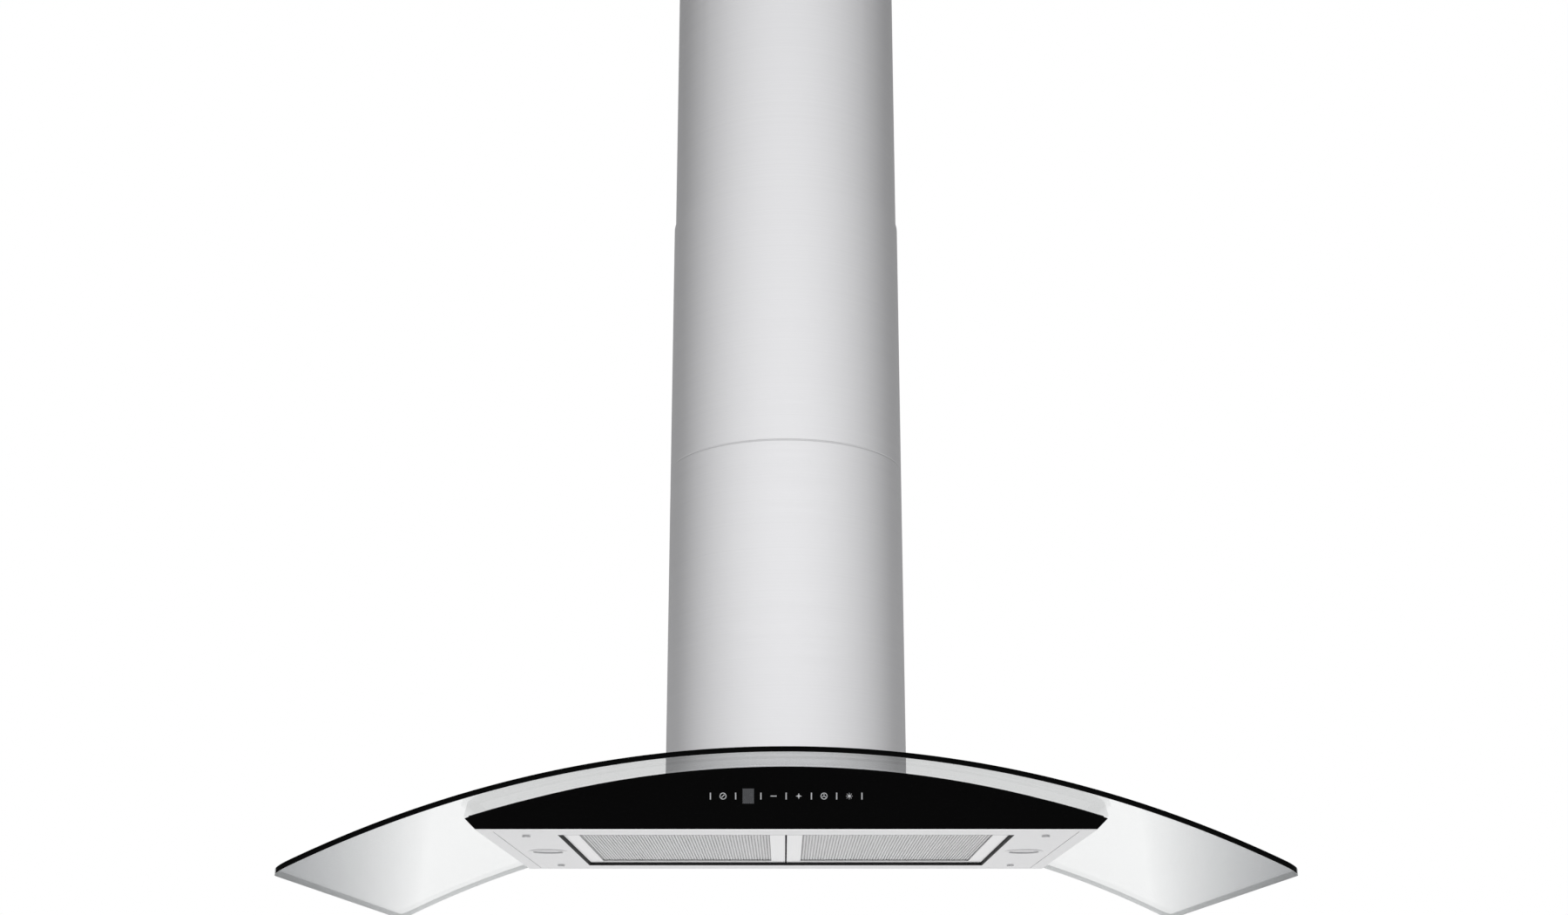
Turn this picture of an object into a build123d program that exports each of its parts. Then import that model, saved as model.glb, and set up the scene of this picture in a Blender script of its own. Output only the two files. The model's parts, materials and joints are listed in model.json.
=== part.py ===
"""Island range hood: round telescopic chimney, curved glass canopy, slim body with touch panel."""
import os
from math import atan, cos, pi, sin, sqrt

from build123d import *

os.makedirs("parts", exist_ok=True)

# The frame: millimetres, origin at the centre of the ceiling plate's top face, +Z up,
# the front with the touch panel towards -Y, +X to the right of somebody facing it.

# Glass canopy: a sheet bent about an axis along Y.
GLASS_WIDTH = 900
GLASS_DEPTH = 600
GLASS_THICKNESS = 5
GLASS_RADIUS = 1000
GLASS_CORNER = 14
CROWN_Z = -920
BEND_Z = CROWN_Z - GLASS_RADIUS
GLASS_HOLE = 104

# What lies on the bend is cut from blanks that reach a little above the crown.
BLANK_TOP_Z = CROWN_Z + 10
GLASS_BLANK = 140
FRAME_BLANK = 80
RING_BLANK = 30
HOLE_BLANK = 40
ENVELOPE_TOP_Z = CROWN_Z + 30

# Chimney covers.
CHIMNEY_RADIUS = 125
COVER_SHEET = 0.8
COVER_GAP = 0.6
SEAM_Z = CROWN_Z + 625
COVER_OVERLAP = 50
COVER_TOP_Z = -2
UPPER_COVER_RADIUS = CHIMNEY_RADIUS - COVER_SHEET - COVER_GAP
COVER_SCREW_Z = -12
COVER_SCREW = 4
COVER_SCREW_CLEARANCE = 0.5
COVER_SCREW_HEAD_HEIGHT = 2
COVER_SCREW_INNER_END = 3
SKIRT_SPARE = 5
DRILL_LENGTH = 8

# Ceiling plate and the frame of telescopic angle rails.
PLATE_RADIUS = 121.5
PLATE_SHEET = 2
PLATE_RIM = 22
DUCT_CLEARANCE_RADIUS = 86
MOUNT_CIRCLE = 200
MOUNT_HOLE = 8.5
RAIL_LEG = 20
RAIL_SHEET = 1.5
UPPER_RAIL_CORNER = 78
LOWER_RAIL_CORNER = UPPER_RAIL_CORNER - RAIL_SHEET
UPPER_RAIL_END = -480
LOWER_RAIL_TOP = -380
RAIL_HOLE_PITCH = 40
RAIL_HOLE_LINE = UPPER_RAIL_CORNER - RAIL_LEG / 2
RAIL_HOLE_MARGIN = 20
FIRST_RAIL_HOLE = -50
JOINING_HOLES = (-410, -450)

# Clamped joint around the hole in the glass.
GASKET_UPPER = 1.5
GASKET_LOWER = 1.0
UPPER_GASKET_EDGE = 1.5
LOWER_GASKET_EDGE = 4
GASKET_FRAME_HALF_WIDTH = 296
GASKET_FRAME_HALF_DEPTH = 200
GASKET_FRAME_BAND = 10
RING_INNER = 106
RING_OUTER = 124
RING_TOP_Z = CROWN_Z + 14
RING_SCREW_Z = RING_TOP_Z - 10
RING_SCREW_LENGTH = 6
RING_DRILL_LENGTH = 14
CLAMP_RING_BOTTOM_Z = CROWN_Z - 18
CLAMP_CIRCLE_RADIUS = 115
CLAMP_BOLTS = 6
BOLT = 6
BOLT_HOLE = 6.6
BOLT_HEAD = 10
BOLT_HEAD_HEIGHT = 4
NUT_HEIGHT = 5
BOLT_TIP_GAP = 0.2
BUSHING_HOLE = 12

# Blower housing, scroll and fan.
HOUSING_RADIUS = 112
HOUSING_SHEET = 1.2
HOUSING_TOP_Z = CROWN_Z + 240
HOUSING_FLANGE = 122
FAN_X = -18
FAN_Z = CROWN_Z + 125
SCROLL_START = 63
SCROLL_END = 92
SCROLL_START_ANGLE = 75
SCROLL_WIDTH = 92
SCROLL_WALL = 1.5
SCROLL_INLET = 48
WHEEL_RADIUS = 58
WHEEL_WIDTH = 80
WHEEL_BAND = 11
WHEEL_BAND_SHEET = 2
BLADES = 30
BLADE_LENGTH = 11
BLADE_SHEET = 0.9
BLADE_ANGLE = 35
BLADE_INSET = 6
HUB_RADIUS = 12
HUB_HALF_WIDTH = 9
SHAFT_RADIUS = 4
SHAFT_FRONT_Y = -10
SHAFT_CHAMFER = 0.5
MOTOR_RADIUS = 34
MOTOR_FRONT_Y = 12
MOTOR_BACK_Y = 70
END_CAP_DEPTH = 8
CASE_WALL = 1.5
BEARING_OUTER = 8
BEARING_WIDTH = 5
RUNNING_GAP = 0.05
ROTOR_RADIUS = 19
ROTOR_AIR_GAP = 0.6
ROTOR_ROOM = (14, 8)
STATOR_ROOM = (12, 6)
BRACKET_HOLE_CIRCLE = MOTOR_RADIUS + 20
BRACKET_SHEET = 3
BRACKET_BAND = 6
BRACKET_ARM_LENGTH = 24
BRACKET_ARM_WIDTH = 12
BRACKET_HOLE = 4.2
SMALL_SCREW = 4
SMALL_SCREW_HEAD = 7
BRACKET_SCREW_HEAD_HEIGHT = 2
BRACKET_SCREW_LENGTH = 4
CAPACITOR_X = -93
CAPACITOR_RADIUS = 14
CAPACITOR_HEIGHT = 44

# Outlet collar and its damper.
COLLAR_RADIUS = 75
COLLAR_WALL = 2
COLLAR_TOP_Z = HOUSING_TOP_Z + 84
COLLAR_ROUND_Z = HOUSING_TOP_Z + 40
COLLAR_NECK = 10
COLLAR_FLANGE = 8
COLLAR_FLANGE_SHEET = 2.5
COLLAR_SCREW_HEAD_HEIGHT = 2.4
COLLAR_SCREW_LENGTH = 9
DAMPER_Z = HOUSING_TOP_Z + 55
DAMPER_AXIS_X = 4
FLAP_RADIUS = 71.5
FLAP_THICKNESS = 1.5
FLAP_PIN = 1.5
FLAP_TUBE = 2.6
FLAP_TUBE_END_GAP = 1
FLAP_PIN_END_GAP = 0.5
LEDGE_WIDTH = 4
LEDGE_SHEET = 2
LEDGE_GAP = 0.3
LEDGE_END_GAP = 0.2

# Mains terminal box, its cable gland and the cable's hole in the ceiling plate.
BOX_Y = (84, 108)
BOX_HALF_WIDTH = 30
BOX_HEIGHT = 48
BOX_WALL = 2
GLAND_PLACE = (18, 96)
GLAND_RADIUS = 8
GLAND_THREAD_RADIUS = 6.5
GLAND_THREAD_LENGTH = 6
GLAND_NUT_HEIGHT = 5
GLAND_CAP_RADIUS = 7.5
GLAND_CAP_HEIGHT = 9
CABLE_RADIUS = 3.75
CABLE_HOLE = 12

# Canopy body under the glass.
BODY_BOTTOM_Z = CROWN_Z - 63
TOP_RADIUS = GLASS_RADIUS - GLASS_THICKNESS - GASKET_LOWER
BODY_HALF_WIDTH = 289
BODY_HALF_DEPTH = 198
FACE_LEAN = 18 / 58
BODY_SHEET = 1
FACE_GLASS = 4
OPENING_HALF_WIDTH = 275
OPENING_HALF_DEPTH = 186
RETURN_HEIGHT = 9
PANEL_GAP = 0.5
FILTER_OPENING_HALF_WIDTH = 217.5
FILTER_OPENING_HALF_DEPTH = 156.5
LAMP_X = 245
LAMP_BEZEL_RADIUS = 20
LAMP_BEZEL_STAND = 0.9
LAMP_WINDOW_RADIUS = 15.5
LAMP_RADIUS = 16.8
LAMP_WALL = 1.2
LAMP_CLEARANCE = 0.3
LENS_THICKNESS = 1.8
LAMP_HEIGHT = 15
LAMP_SLEEVE = 8
LAMP_FIT = 0.2
LAMP_BEZEL_CHAMFER = 0.6
FIN_PITCH = 5
FIN_GAP = 2
FIN_GAPS = 7
DRIVER_X = (-268, -226)
DRIVER_Y = (36, 134)
DRIVER_HEIGHT = 16
PANEL_SCREW_X = 248
PANEL_SCREW_Y = 150
PANEL_SCREW_HEAD_HEIGHT = 1.6
PANEL_SCREW_LENGTH = 7
PANEL_TAB_WIDTH = 22
PANEL_TAB_END = 10

# Grease filters.
FILTER_WIDTH = 214.5
FILTER_DEPTH = 309
FILTER_HEIGHT = 9
FILTER_X = 108.1
FILTER_SHEET = 1
FILTER_BORDER = 15
FILTER_LIFT = 3
RIM_HEIGHT = BODY_SHEET + FILTER_LIFT
TRIM = 1.2
TRIM_DROP = 0.2
MESH_GAP = 0.2
LATCH_ZONE_WIDTH = 78
LATCH_ZONE_DEPTH = 26
LATCH_WINDOW_WIDTH = 38
LATCH_TRAVEL = 6
LATCH_WINDOW_Y = (4, 18)
LATCH_PLAY = 0.3
SLIDER_HALF_WIDTH = 36
SLIDER_FRONT_GAP = 0.5
SLIDER_DEPTH = 13
BOLT_OFFSET = 26
LATCH_BOLT_WIDTH = 10
LATCH_BOLT_SHEET = 2
LATCH_BOLT_REACH = 5.5
LATCH_SLOT_PLAY = (0.5, 0.2)
CUP_PLAY = (0.5, 0.4)
CUP_STAND = 0.6
CUP_WALL = (1.5, 1.2)
TAB_OFFSET = 60
TAB_WIDTH = 24
TAB_REACH = 7.5
TAB_SHEET = 1.2
TAB_GAP = 0.4
SPRING_RADIUS = 2.2
SPRING_WIRE = 0.35
SPRING_PITCH = 1.9
SPRING_END_GAP = 0.1

# Touch panel: a row of cells, one of which is the display.
ICON_HEIGHT = 30.5
ICON_PITCH = 23.5
CELLS = 6
DISPLAY_CELL = 1
DISPLAY_WIDTH = 12
DISPLAY_HEIGHT = 15
WINDOW_HALF_WIDTH = 88
WINDOW_LOW = 18
WINDOW_HIGH = 43
BOARD_DEPTH = FACE_GLASS + 3.4
BOARD_SHEET = 1.6
BOARD_WIDTH = 2 * WINDOW_HALF_WIDTH - 8
BOARD_HEIGHT = 20
BOARD_CORNER = 1.5
CARRIER_WIDTH = 2 * WINDOW_HALF_WIDTH + 12
CARRIER_HEIGHT = 32
CARRIER_CORNER = 2
CARRIER_OPENING_WIDTH = 2 * WINDOW_HALF_WIDTH - 16
CARRIER_OPENING_HEIGHT = 16.5
TOUCH_SPRING_OUTER = 3
TOUCH_SPRING_INNER = 2.2

SIDES = (("left", -1), ("right", 1))


def save(part, name):
    """Label a finished piece and write it to its own file."""
    part.label = name
    export_step(part, f"parts/{name}.step")


def slab(x0, x1, y0, y1, z0, z1):
    """A block between two corners, for adding to or cutting from a piece."""
    block = Box(x1 - x0, y1 - y0, z1 - z0, mode=Mode.PRIVATE)
    return Pos((x0 + x1) / 2, (y0 + y1) / 2, (z0 + z1) / 2) * block


def bent_block(radius):
    """The solid under a surface bent about the glass's own axis."""
    block = Cylinder(radius, 2 * GLASS_DEPTH, mode=Mode.PRIVATE)
    return Pos(0, 0, BEND_Z) * Rot(90, 0, 0) * block


def bent_height(radius, x):
    """Height of that surface at a distance x from the middle."""
    return BEND_Z + sqrt(radius**2 - x**2)


def face_y(z, inset=0):
    """Distance of the leaning front and rear faces from the middle at a height."""
    return BODY_HALF_DEPTH + (z - BODY_BOTTOM_Z) * FACE_LEAN - inset * sqrt(1 + FACE_LEAN**2)


def body_envelope(side_inset, face_inset, bottom_z, top_radius):
    """The canopy body's solid form: 45 degree ends, leaning faces and a bent top."""
    high = ENVELOPE_TOP_Z
    low_x = BODY_HALF_WIDTH + (bottom_z - BODY_BOTTOM_Z) - side_inset * sqrt(2)
    high_x = low_x + high - bottom_z
    with BuildPart() as envelope:
        with BuildSketch(Plane.XZ):
            Polygon((-low_x, bottom_z), (low_x, bottom_z), (high_x, high), (-high_x, high), align=None)
        extrude(amount=GLASS_DEPTH / 2, both=True)
        with BuildSketch(Plane.YZ):
            low_y = face_y(bottom_z, face_inset)
            high_y = face_y(high, face_inset)
            Polygon((-low_y, bottom_z), (low_y, bottom_z), (high_y, high), (-high_y, high), align=None)
        extrude(amount=GLASS_WIDTH / 2, both=True, mode=Mode.INTERSECT)
        add(bent_block(top_radius), mode=Mode.INTERSECT)
    return envelope.part


# ---------------------------------------------------------------- ceiling plate and rails

with BuildPart() as ceiling_plate:
    with BuildSketch(Plane.XY.offset(-PLATE_RIM)):
        Circle(PLATE_RADIUS)
    extrude(amount=PLATE_RIM)
    with BuildSketch(Plane.XY.offset(-PLATE_RIM)):
        Circle(PLATE_RADIUS - PLATE_SHEET)
    extrude(amount=PLATE_RIM - PLATE_SHEET, mode=Mode.SUBTRACT)
    with BuildSketch(Plane.XY.offset(-PLATE_SHEET)):
        Circle(DUCT_CLEARANCE_RADIUS)
        with PolarLocations(MOUNT_CIRCLE / 2, 4):
            Circle(MOUNT_HOLE / 2)
        with Locations(GLAND_PLACE):
            Circle(CABLE_HOLE / 2)
        foot_centre = UPPER_RAIL_CORNER - RAIL_LEG / 2
        with GridLocations(2 * foot_centre, 2 * foot_centre, 2, 2):
            Circle(BOLT / 2)
    extrude(amount=PLATE_SHEET, mode=Mode.SUBTRACT)
    with Locations(Plane.XY.offset(COVER_SCREW_Z)):
        with PolarLocations(PLATE_RADIUS - PLATE_SHEET / 2, 4, start_angle=45):
            Cylinder(COVER_SCREW / 2, 3 * PLATE_SHEET, rotation=(0, 90, 0), mode=Mode.SUBTRACT)
save(ceiling_plate.part, "ceiling_plate")


def rail(corner, low, high, foot_z, holes):
    """An angle rail with a folded foot, standing at the frame's rear right corner."""
    leg = RAIL_LEG
    inner = corner - leg
    with BuildPart() as angle:
        with BuildSketch(Plane.XY.offset(low)):
            Polygon(
                (corner, corner),
                (inner, corner),
                (inner, corner - RAIL_SHEET),
                (corner - RAIL_SHEET, corner - RAIL_SHEET),
                (corner - RAIL_SHEET, inner),
                (corner, inner),
                align=None,
            )
        extrude(amount=high - low)
        with BuildSketch(Plane.XY.offset(foot_z)):
            with Locations((corner - leg / 2, corner - leg / 2)):
                Rectangle(leg, leg)
                Circle(BOLT / 2, mode=Mode.SUBTRACT)
        extrude(amount=RAIL_SHEET)
        with BuildSketch(Plane.YZ.offset(corner)):
            with Locations(*[(RAIL_HOLE_LINE, z) for z in holes]):
                Circle(BOLT / 2)
        extrude(amount=-2 * RAIL_SHEET, mode=Mode.SUBTRACT)
        with BuildSketch(Plane.XZ.offset(-corner)):
            with Locations(*[(RAIL_HOLE_LINE, z) for z in holes]):
                Circle(BOLT / 2)
        extrude(amount=2 * RAIL_SHEET, mode=Mode.SUBTRACT)
    return angle.part


upper_holes = range(FIRST_RAIL_HOLE, UPPER_RAIL_END, -RAIL_HOLE_PITCH)
lower_holes = range(JOINING_HOLES[0], HOUSING_TOP_Z + RAIL_HOLE_MARGIN, -RAIL_HOLE_PITCH)
upper_rail = rail(
    UPPER_RAIL_CORNER, UPPER_RAIL_END, -PLATE_SHEET, -PLATE_SHEET - RAIL_SHEET, upper_holes
)
lower_rail = rail(LOWER_RAIL_CORNER, HOUSING_TOP_Z, LOWER_RAIL_TOP, HOUSING_TOP_Z, lower_holes)

with BuildPart() as upper_rails:
    with PolarLocations(0, 4):
        add(upper_rail)
save(upper_rails.part, "upper_rails")

with BuildPart() as lower_rails:
    with PolarLocations(0, 4):
        add(lower_rail)
save(lower_rails.part, "lower_rails")

# Frame bolts: one up into each foot of the upper rails, one down through each foot of the lower
# rails, and two across each overlap, all with hexagon heads and nuts where the thread comes out.
with BuildPart() as rail_bolts:
    foot_centre = UPPER_RAIL_CORNER - RAIL_LEG / 2
    upper_head_z = -PLATE_SHEET - RAIL_SHEET - BOLT_HEAD_HEIGHT
    with BuildSketch(Plane.XY.offset(upper_head_z)):
        with GridLocations(2 * foot_centre, 2 * foot_centre, 2, 2):
            RegularPolygon(BOLT_HEAD / 2, 6, major_radius=False)
    extrude(amount=BOLT_HEAD_HEIGHT)
    with BuildSketch(Plane.XY.offset(upper_head_z + BOLT_HEAD_HEIGHT)):
        with GridLocations(2 * foot_centre, 2 * foot_centre, 2, 2):
            Circle(BOLT / 2)
    extrude(amount=PLATE_SHEET + RAIL_SHEET - BOLT_TIP_GAP)
    lower_centre = LOWER_RAIL_CORNER - RAIL_LEG / 2
    with BuildSketch(Plane.XY.offset(HOUSING_TOP_Z + RAIL_SHEET)):
        with GridLocations(2 * lower_centre, 2 * lower_centre, 2, 2):
            RegularPolygon(BOLT_HEAD / 2, 6, major_radius=False)
    extrude(amount=BOLT_HEAD_HEIGHT)
    with BuildSketch(Plane.XY.offset(HOUSING_TOP_Z + RAIL_SHEET)):
        with GridLocations(2 * lower_centre, 2 * lower_centre, 2, 2):
            Circle(BOLT / 2)
    extrude(amount=-RAIL_SHEET - HOUSING_SHEET)
    with BuildSketch(Plane.XY.offset(HOUSING_TOP_Z - HOUSING_SHEET)):
        with GridLocations(2 * lower_centre, 2 * lower_centre, 2, 2):
            RegularPolygon(BOLT_HEAD / 2, 6, major_radius=False)
    extrude(amount=-NUT_HEIGHT)
    for sx in (-1, 1):
        outer_face = sx * UPPER_RAIL_CORNER
        inner_face = sx * (LOWER_RAIL_CORNER - RAIL_SHEET)
        for face, depth in ((outer_face, sx * BOLT_HEAD_HEIGHT), (inner_face, -sx * NUT_HEIGHT)):
            with BuildSketch(Plane.YZ.offset(face)):
                for z in JOINING_HOLES:
                    with Locations((RAIL_HOLE_LINE, z), (-RAIL_HOLE_LINE, z)):
                        RegularPolygon(BOLT_HEAD / 2, 6, major_radius=False)
            extrude(amount=depth)
        with BuildSketch(Plane.YZ.offset(outer_face)):
            for z in JOINING_HOLES:
                with Locations((RAIL_HOLE_LINE, z), (-RAIL_HOLE_LINE, z)):
                    Circle(BOLT / 2)
        extrude(amount=inner_face - outer_face)
save(rail_bolts.part, "rail_bolts")

# ---------------------------------------------------------------- chimney covers

with BuildPart() as upper_chimney:
    bottom = SEAM_Z - COVER_OVERLAP
    with BuildSketch(Plane.XY.offset(bottom)):
        Circle(UPPER_COVER_RADIUS)
        Circle(UPPER_COVER_RADIUS - COVER_SHEET, mode=Mode.SUBTRACT)
    extrude(amount=COVER_TOP_Z - bottom)
    # Open notches let the cover drop away from its loosened screws.
    notch_width = COVER_SCREW + 2 * COVER_SCREW_CLEARANCE
    with Locations(Plane.XY.offset(COVER_SCREW_Z)):
        with PolarLocations(UPPER_COVER_RADIUS, 4, start_angle=45):
            Cylinder(notch_width / 2, DRILL_LENGTH, rotation=(0, 90, 0), mode=Mode.SUBTRACT)
    notch_height = COVER_TOP_Z - COVER_SCREW_Z
    with Locations(Plane.XY.offset(COVER_SCREW_Z + notch_height / 2)):
        with PolarLocations(UPPER_COVER_RADIUS, 4, start_angle=45):
            Box(DRILL_LENGTH, notch_width, notch_height, mode=Mode.SUBTRACT)
save(upper_chimney.part, "upper_chimney")

with BuildPart() as lower_chimney:
    skirt_bottom = bent_height(GLASS_RADIUS, CHIMNEY_RADIUS) - SKIRT_SPARE
    with BuildSketch(Plane.XY.offset(skirt_bottom)):
        Circle(CHIMNEY_RADIUS)
        Circle(CHIMNEY_RADIUS - COVER_SHEET, mode=Mode.SUBTRACT)
    extrude(amount=SEAM_Z - skirt_bottom)
    add(bent_block(GLASS_RADIUS + GASKET_UPPER), mode=Mode.SUBTRACT)
    for sx in (-1, 1):
        with Locations((sx * CHIMNEY_RADIUS, 0, RING_SCREW_Z)):
            Cylinder(COVER_SCREW / 2, DRILL_LENGTH, rotation=(0, 90, 0), mode=Mode.SUBTRACT)
save(lower_chimney.part, "lower_chimney")

# Pan-head cover screws: four into the ceiling plate's rim, two into the base ring.
with BuildPart() as chimney_screws:
    inner_end = PLATE_RADIUS - PLATE_SHEET - COVER_SCREW_INNER_END
    head_face = UPPER_COVER_RADIUS + COVER_SCREW_CLEARANCE
    for quarter in range(4):
        angle = 45 + 90 * quarter
        out = Plane(
            origin=(0, 0, COVER_SCREW_Z),
            x_dir=(0, 0, 1),
            z_dir=(cos(angle * pi / 180), sin(angle * pi / 180), 0),
        )
        with BuildSketch(out.offset(inner_end)):
            Circle(COVER_SCREW / 2)
        extrude(amount=head_face - inner_end)
        with BuildSketch(out.offset(head_face)):
            Circle(COVER_SCREW)
        extrude(amount=COVER_SCREW_HEAD_HEIGHT)
    for side in (-1, 1):
        out = Plane(origin=(0, 0, RING_SCREW_Z), x_dir=(0, 0, 1), z_dir=(side, 0, 0))
        with BuildSketch(out.offset(CHIMNEY_RADIUS - RING_SCREW_LENGTH)):
            Circle(COVER_SCREW / 2)
        extrude(amount=RING_SCREW_LENGTH)
        with BuildSketch(out.offset(CHIMNEY_RADIUS)):
            Circle(COVER_SCREW)
        extrude(amount=COVER_SCREW_HEAD_HEIGHT)
save(chimney_screws.part, "chimney_screws")

# ---------------------------------------------------------------- glass canopy and its clamp

with BuildPart() as glass_canopy:
    with BuildSketch(Plane.XY.offset(BLANK_TOP_Z - GLASS_BLANK)):
        RectangleRounded(GLASS_WIDTH, GLASS_DEPTH, GLASS_CORNER)
        Circle(GLASS_HOLE, mode=Mode.SUBTRACT)
        with PolarLocations(CLAMP_CIRCLE_RADIUS, CLAMP_BOLTS):
            Circle(BUSHING_HOLE / 2, mode=Mode.SUBTRACT)
    extrude(amount=GLASS_BLANK)
    add(bent_block(GLASS_RADIUS), mode=Mode.INTERSECT)
    add(bent_block(GLASS_RADIUS - GLASS_THICKNESS), mode=Mode.SUBTRACT)
save(glass_canopy.part, "glass_canopy")

with BuildPart() as glass_gasket_upper:
    with BuildSketch(Plane.XY.offset(BLANK_TOP_Z - RING_BLANK)):
        Circle(CHIMNEY_RADIUS + UPPER_GASKET_EDGE)
        Circle(GLASS_HOLE, mode=Mode.SUBTRACT)
        with PolarLocations(CLAMP_CIRCLE_RADIUS, CLAMP_BOLTS):
            Circle(BUSHING_HOLE / 2, mode=Mode.SUBTRACT)
    extrude(amount=RING_BLANK)
    add(bent_block(GLASS_RADIUS + GASKET_UPPER), mode=Mode.INTERSECT)
    add(bent_block(GLASS_RADIUS), mode=Mode.SUBTRACT)
save(glass_gasket_upper.part, "glass_gasket_upper")

# One die-cut gasket: a ring at the glass hole, a frame along the body's top and two bridges.
with BuildPart() as glass_gasket_lower:
    with BuildSketch(Plane.XY.offset(BLANK_TOP_Z - FRAME_BLANK)):
        Rectangle(2 * GASKET_FRAME_HALF_WIDTH, 2 * GASKET_FRAME_HALF_DEPTH)
        Rectangle(
            2 * (GASKET_FRAME_HALF_WIDTH - GASKET_FRAME_BAND),
            2 * (GASKET_FRAME_HALF_DEPTH - GASKET_FRAME_BAND),
            mode=Mode.SUBTRACT,
        )
        Rectangle(2 * GASKET_FRAME_HALF_WIDTH, 2 * GASKET_FRAME_BAND)
        Circle(RING_OUTER + LOWER_GASKET_EDGE)
        Circle(GLASS_HOLE, mode=Mode.SUBTRACT)
        with PolarLocations(CLAMP_CIRCLE_RADIUS, CLAMP_BOLTS):
            Circle(BUSHING_HOLE / 2, mode=Mode.SUBTRACT)
    extrude(amount=FRAME_BLANK)
    add(bent_block(GLASS_RADIUS - GLASS_THICKNESS), mode=Mode.INTERSECT)
    add(bent_block(GLASS_RADIUS - GLASS_THICKNESS - GASKET_LOWER), mode=Mode.SUBTRACT)
save(glass_gasket_lower.part, "glass_gasket_lower")

with BuildPart() as base_ring:
    with BuildSketch(Plane.XY.offset(RING_TOP_Z)):
        Circle(RING_OUTER)
        Circle(RING_INNER, mode=Mode.SUBTRACT)
        with PolarLocations(CLAMP_CIRCLE_RADIUS, CLAMP_BOLTS):
            Circle(BOLT_HOLE / 2, mode=Mode.SUBTRACT)
    extrude(amount=-RING_BLANK)
    add(bent_block(GLASS_RADIUS + GASKET_UPPER), mode=Mode.SUBTRACT)
    for sx in (-1, 1):
        with Locations((sx * RING_OUTER, 0, RING_SCREW_Z)):
            Cylinder(COVER_SCREW / 2, RING_DRILL_LENGTH, rotation=(0, 90, 0), mode=Mode.SUBTRACT)
save(base_ring.part, "base_ring")

with BuildPart() as clamp_ring:
    with BuildSketch(Plane.XY.offset(CLAMP_RING_BOTTOM_Z)):
        Circle(RING_OUTER)
        Circle(RING_INNER, mode=Mode.SUBTRACT)
        with PolarLocations(CLAMP_CIRCLE_RADIUS, CLAMP_BOLTS):
            Circle(BOLT_HOLE / 2, mode=Mode.SUBTRACT)
    extrude(amount=RING_BLANK)
    add(bent_block(GLASS_RADIUS - GLASS_THICKNESS - GASKET_LOWER - BODY_SHEET), mode=Mode.INTERSECT)
save(clamp_ring.part, "clamp_ring")

# Nylon sleeves keep the bolts off the glass.
with BuildPart() as glass_bushings:
    with BuildSketch(Plane.XY.offset(BLANK_TOP_Z - RING_BLANK)):
        with PolarLocations(CLAMP_CIRCLE_RADIUS, CLAMP_BOLTS):
            Circle(BUSHING_HOLE / 2)
            Circle(BOLT_HOLE / 2, mode=Mode.SUBTRACT)
    extrude(amount=RING_BLANK)
    add(bent_block(GLASS_RADIUS + GASKET_UPPER), mode=Mode.INTERSECT)
    add(bent_block(GLASS_RADIUS - GLASS_THICKNESS - GASKET_LOWER), mode=Mode.SUBTRACT)
save(glass_bushings.part, "glass_bushings")

with BuildPart() as clamp_bolts:
    clamp_top = RING_TOP_Z + HOUSING_SHEET
    with BuildSketch(Plane.XY.offset(clamp_top)):
        with PolarLocations(CLAMP_CIRCLE_RADIUS, CLAMP_BOLTS):
            RegularPolygon(BOLT_HEAD / 2, 6, major_radius=False)
    extrude(amount=BOLT_HEAD_HEIGHT)
    with BuildSketch(Plane.XY.offset(clamp_top)):
        with PolarLocations(CLAMP_CIRCLE_RADIUS, CLAMP_BOLTS):
            Circle(BOLT / 2)
    extrude(amount=CLAMP_RING_BOTTOM_Z - NUT_HEIGHT - 2 - clamp_top)
save(clamp_bolts.part, "clamp_bolts")

with BuildPart() as clamp_nuts:
    with BuildSketch(Plane.XY.offset(CLAMP_RING_BOTTOM_Z)):
        with PolarLocations(CLAMP_CIRCLE_RADIUS, CLAMP_BOLTS):
            RegularPolygon(BOLT_HEAD / 2, 6, major_radius=False)
            Circle(BOLT / 2, mode=Mode.SUBTRACT)
    extrude(amount=-NUT_HEIGHT)
save(clamp_nuts.part, "clamp_nuts")

# ---------------------------------------------------------------- blower housing and scroll


def scroll_radius(angle, wall):
    """Radius of the spiral casing, growing evenly from the tongue to the outlet wall."""
    share = (angle - SCROLL_START_ANGLE) / (360 - SCROLL_START_ANGLE)
    return SCROLL_START + share * (SCROLL_END - SCROLL_START) - wall


def scroll_point(angle, wall):
    """A point of the spiral in the sketch plane of the scroll."""
    radius = scroll_radius(angle, wall)
    turn = angle * pi / 180
    return (FAN_X + radius * cos(turn), FAN_Z + radius * sin(turn))


def scroll_form(wall, top):
    """The scroll's solid form, drawn in by a wall: a spiral of arcs and two upright outlet walls."""
    arcs = 6
    step = (360 - SCROLL_START_ANGLE) / (2 * arcs)
    points = [scroll_point(SCROLL_START_ANGLE + step * k, wall) for k in range(2 * arcs + 1)]
    half_width = SCROLL_WIDTH / 2 - wall
    with BuildPart() as form:
        with BuildSketch(Plane.XZ.offset(-half_width)):
            with BuildLine():
                for k in range(0, 2 * arcs, 2):
                    ThreePointArc(points[k], points[k + 1], points[k + 2])
                Polyline(points[-1], (points[-1][0], top), (points[0][0] + wall, top), points[0])
            make_face()
        extrude(amount=2 * half_width)
    return form.part


outlet_left = scroll_point(SCROLL_START_ANGLE, 0)[0]
outlet_right = FAN_X + SCROLL_END
outlet_middle = (outlet_left + outlet_right) / 2
outlet_width = outlet_right - outlet_left
roof_underside = HOUSING_TOP_Z - HOUSING_SHEET
collar_holes = (outlet_width / 2 + COLLAR_FLANGE / 2, SCROLL_WIDTH / 2 + COLLAR_FLANGE / 2)

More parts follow.
